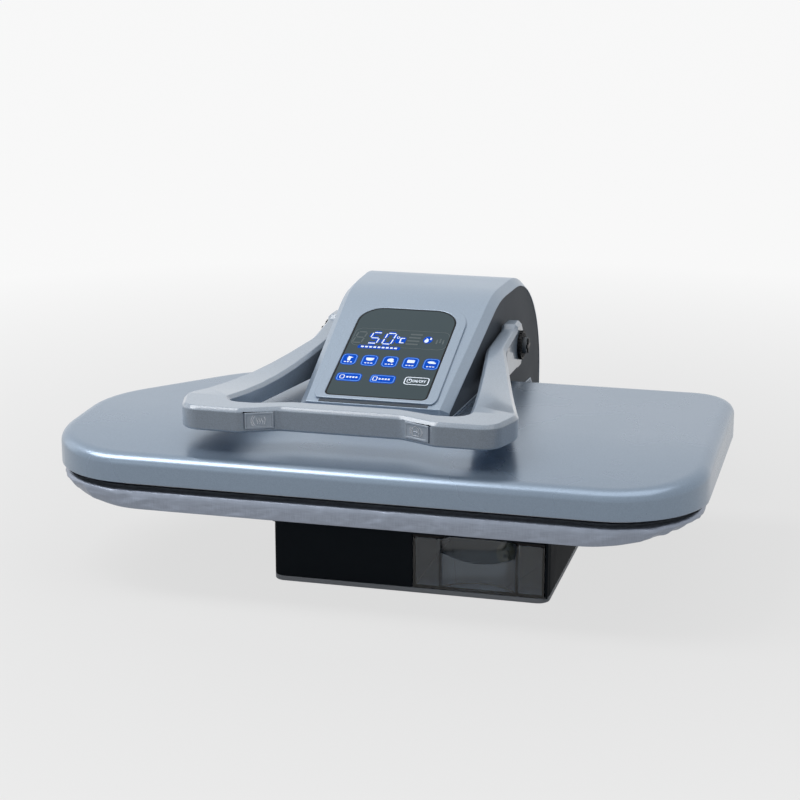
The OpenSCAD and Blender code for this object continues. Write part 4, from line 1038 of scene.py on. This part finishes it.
key_blue = lit_mark("key_blue", two_tones(0.004, 0.06, 0.42, 0.12), (0.0, 0.045, 0.36, 1), 0.6)
mark_white = lit_mark("mark_white", two_tones(0.8, 0.86, 0.95, 0.04), (0.75, 0.87, 1.0, 1), 0.3)
key_line = lit_mark("key_line", two_tones(0.16, 0.36, 0.85, 0.06), (0.1, 0.3, 0.85, 1), 0.25)
mark_off = finish("mark_off", grained, {**two_tones(0.12, 0.15, 0.16, 0.1), "Gloss": 0.2, "Dull": 0.3, "Depth": 0.0},
                  Specular_IOR_Level=0.2)

# %% Digits
segment_places = {"a": (0, 1, 0), "b": (0.5, 0.5, 90), "c": (0.5, -0.5, 90), "d": (0, -1, 0),
                  "e": (-0.5, -0.5, 90), "f": (-0.5, 0.5, 90), "g": (0, 0, 0)}
digit_w, digit_h, digit_lean, digit_y = 9.5, 10, 0.12, 116.5
shown_digits = ((-26.5, "afgcd"), (-11, "abcdef"))


def digit(x, y, lit, thick):
    """Seven-segment strokes of one digit, leaning a little."""
    for name in lit:
        across, up, turn = segment_places[name]
        cx, cy = x + across * digit_w + digit_lean * up * digit_h, y + up * digit_h
        if turn:
            tile(cx, cy, digit_h - 1.6, thick, thick * 0.45, turn=90 - 7)
        else:
            tile(cx, cy, digit_w - 1.6, thick * 1.25, thick * 0.45)


key_xs, key_y = (-44, -22, 0, 22, 44), 75
long_xs, long_y = (-36, 0, 36), 43.5

# %% Blue faces
blue = tile_sheet("blue_marks")
for x in key_xs:
    tile(x, key_y, 17, 20, 5.2)
for x in long_xs[:2]:
    tile(x, long_y, 27, 14.5, 4)
for x, strokes in shown_digits:
    digit(x, digit_y, strokes, 5)
tile(1.8, 115, 11, 12, 3)
tile(-18, 99.5, 46, 6, 2)
disc(30.5, 118.5, 10, 13)
lay(blue, 0, key_blue)

# %% White outlines and symbols
line = tile_sheet("key_outlines")
for x in key_xs:
    frame_tile(x, key_y, 15.6, 18.4, 4.6, 0.8)
for x in long_xs[:2]:
    frame_tile(x, long_y, 25, 12.5, 3.2, 0.9)
lay(line, 0.06 * mm, key_line)
white = tile_sheet("white_marks")
frame_tile(long_xs[2], long_y, 26, 13.5, 3.4, 1.1)
for x, strokes in shown_digits:
    digit(x, digit_y, strokes, 1.3)
frame_tile(-1.6, 119.5, 3.2, 4.2, 1.4, 0.8)
tile(1.6, 114.5, 1.5, 9, 0.4)
tile(3.9, 118.6, 4, 1.5, 0.4)
tile(3.9, 110.4, 4, 1.5, 0.4)
for k in range(9):
    tile(-36 + k * 4.5, 99.5, 3.1, 2.6, 0.5)
disc(29.4, 116.4, 4.4, 6.4)
disc(29.7, 119.8, 2.6, 6, 3, turn=30)
disc(33.4, 120.6, 2, 4, 12)
disc(-44, 78.2, 8, 6, 3, turn=30)
tile(-44, 75, 3, 5, 0.5)
disc(-22, 76.8, 8, 5, 16)
tile(-22, 78.6, 8.6, 2.2, 0.5)
disc(0, 77.8, 7, 5.6, 16, turn=30)
tile(2.2, 75.4, 3.6, 2.8, 0.6, turn=40)
tile(22, 77.6, 8, 5.4, 0.9)
disc(43.4, 78, 7.6, 4, 16)
tile(45, 76.8, 7, 2.2, 0.7)
for x in key_xs:
    for k in (-1, 0, 1):
        tile(x + k * 3.2, 70.2, 2.2, 1.6, 0.3)
frame_tile(-43, long_y, 5.4, 7, 2.4, 0.9)
frame_tile(-8, long_y, 5, 7, 1.2, 0.9)
for x in (-37.4, -34.2, -31, -27.8, -3, 0.2, 3.4, 6.6):
    tile(x, long_y, 2.2, 2.6, 0.4)
frame_tile(28.4, long_y, 5.4, 7, 2.4, 0.8)
tile(28.4, long_y + 2, 0.9, 3.8, 0.3)
for x, strokes in ((32.8, "O"), (35.6, "N"), (37.8, "/"), (40, "O"), (42.8, "F"), (45.2, "F")):
    if strokes == "O":
        frame_tile(x, long_y, 2.2, 4.4, 0.9, 0.6)
    elif strokes == "/":
        tile(x, long_y, 0.6, 5, turn=-18)
    else:
        tile(x - 0.8, long_y, 0.6, 4.4)
        if strokes == "N":
            tile(x + 0.8, long_y, 0.6, 4.4)
            tile(x, long_y, 0.6, 4.4, turn=20)
        else:
            tile(x, long_y + 1.9, 1.7, 0.6)
            tile(x - 0.1, long_y + 0.1, 1.3, 0.6)
lay(white, 0.12 * mm, mark_white)

# %% Marks that are off
off = tile_sheet("unlit_marks")
frame_tile(1, 117.5, 103, 33, 8, 0.7)
digit(-43, digit_y, "abcdefg", 1.6)
for k in range(4):
    tile(15 + 0.5 * k, 109 + 6 * k, 13, 2.6, 0.8)
for k in (-1, 0, 1):
    tile(44 + 3.4 * k, 116 + (2 if k == 0 else 0), 1.6, 8, 0.6)
lay(off, 0, mark_off)

# %% [markdown]
# ## The solids that stay, and the end
# Solids without a new piece over them keep their own mesh and get the finish that the record names for them.

# %% Remaining solids
for part in frame["record"]["subparts"]:
    solid = frame["nodes"][part["node"]]
    if not solid.hide_render:
        solid.data.materials.clear()
        solid.data.materials.append(finishes[part["material_slot"]])
        print(part["node"], part["material_slot"])
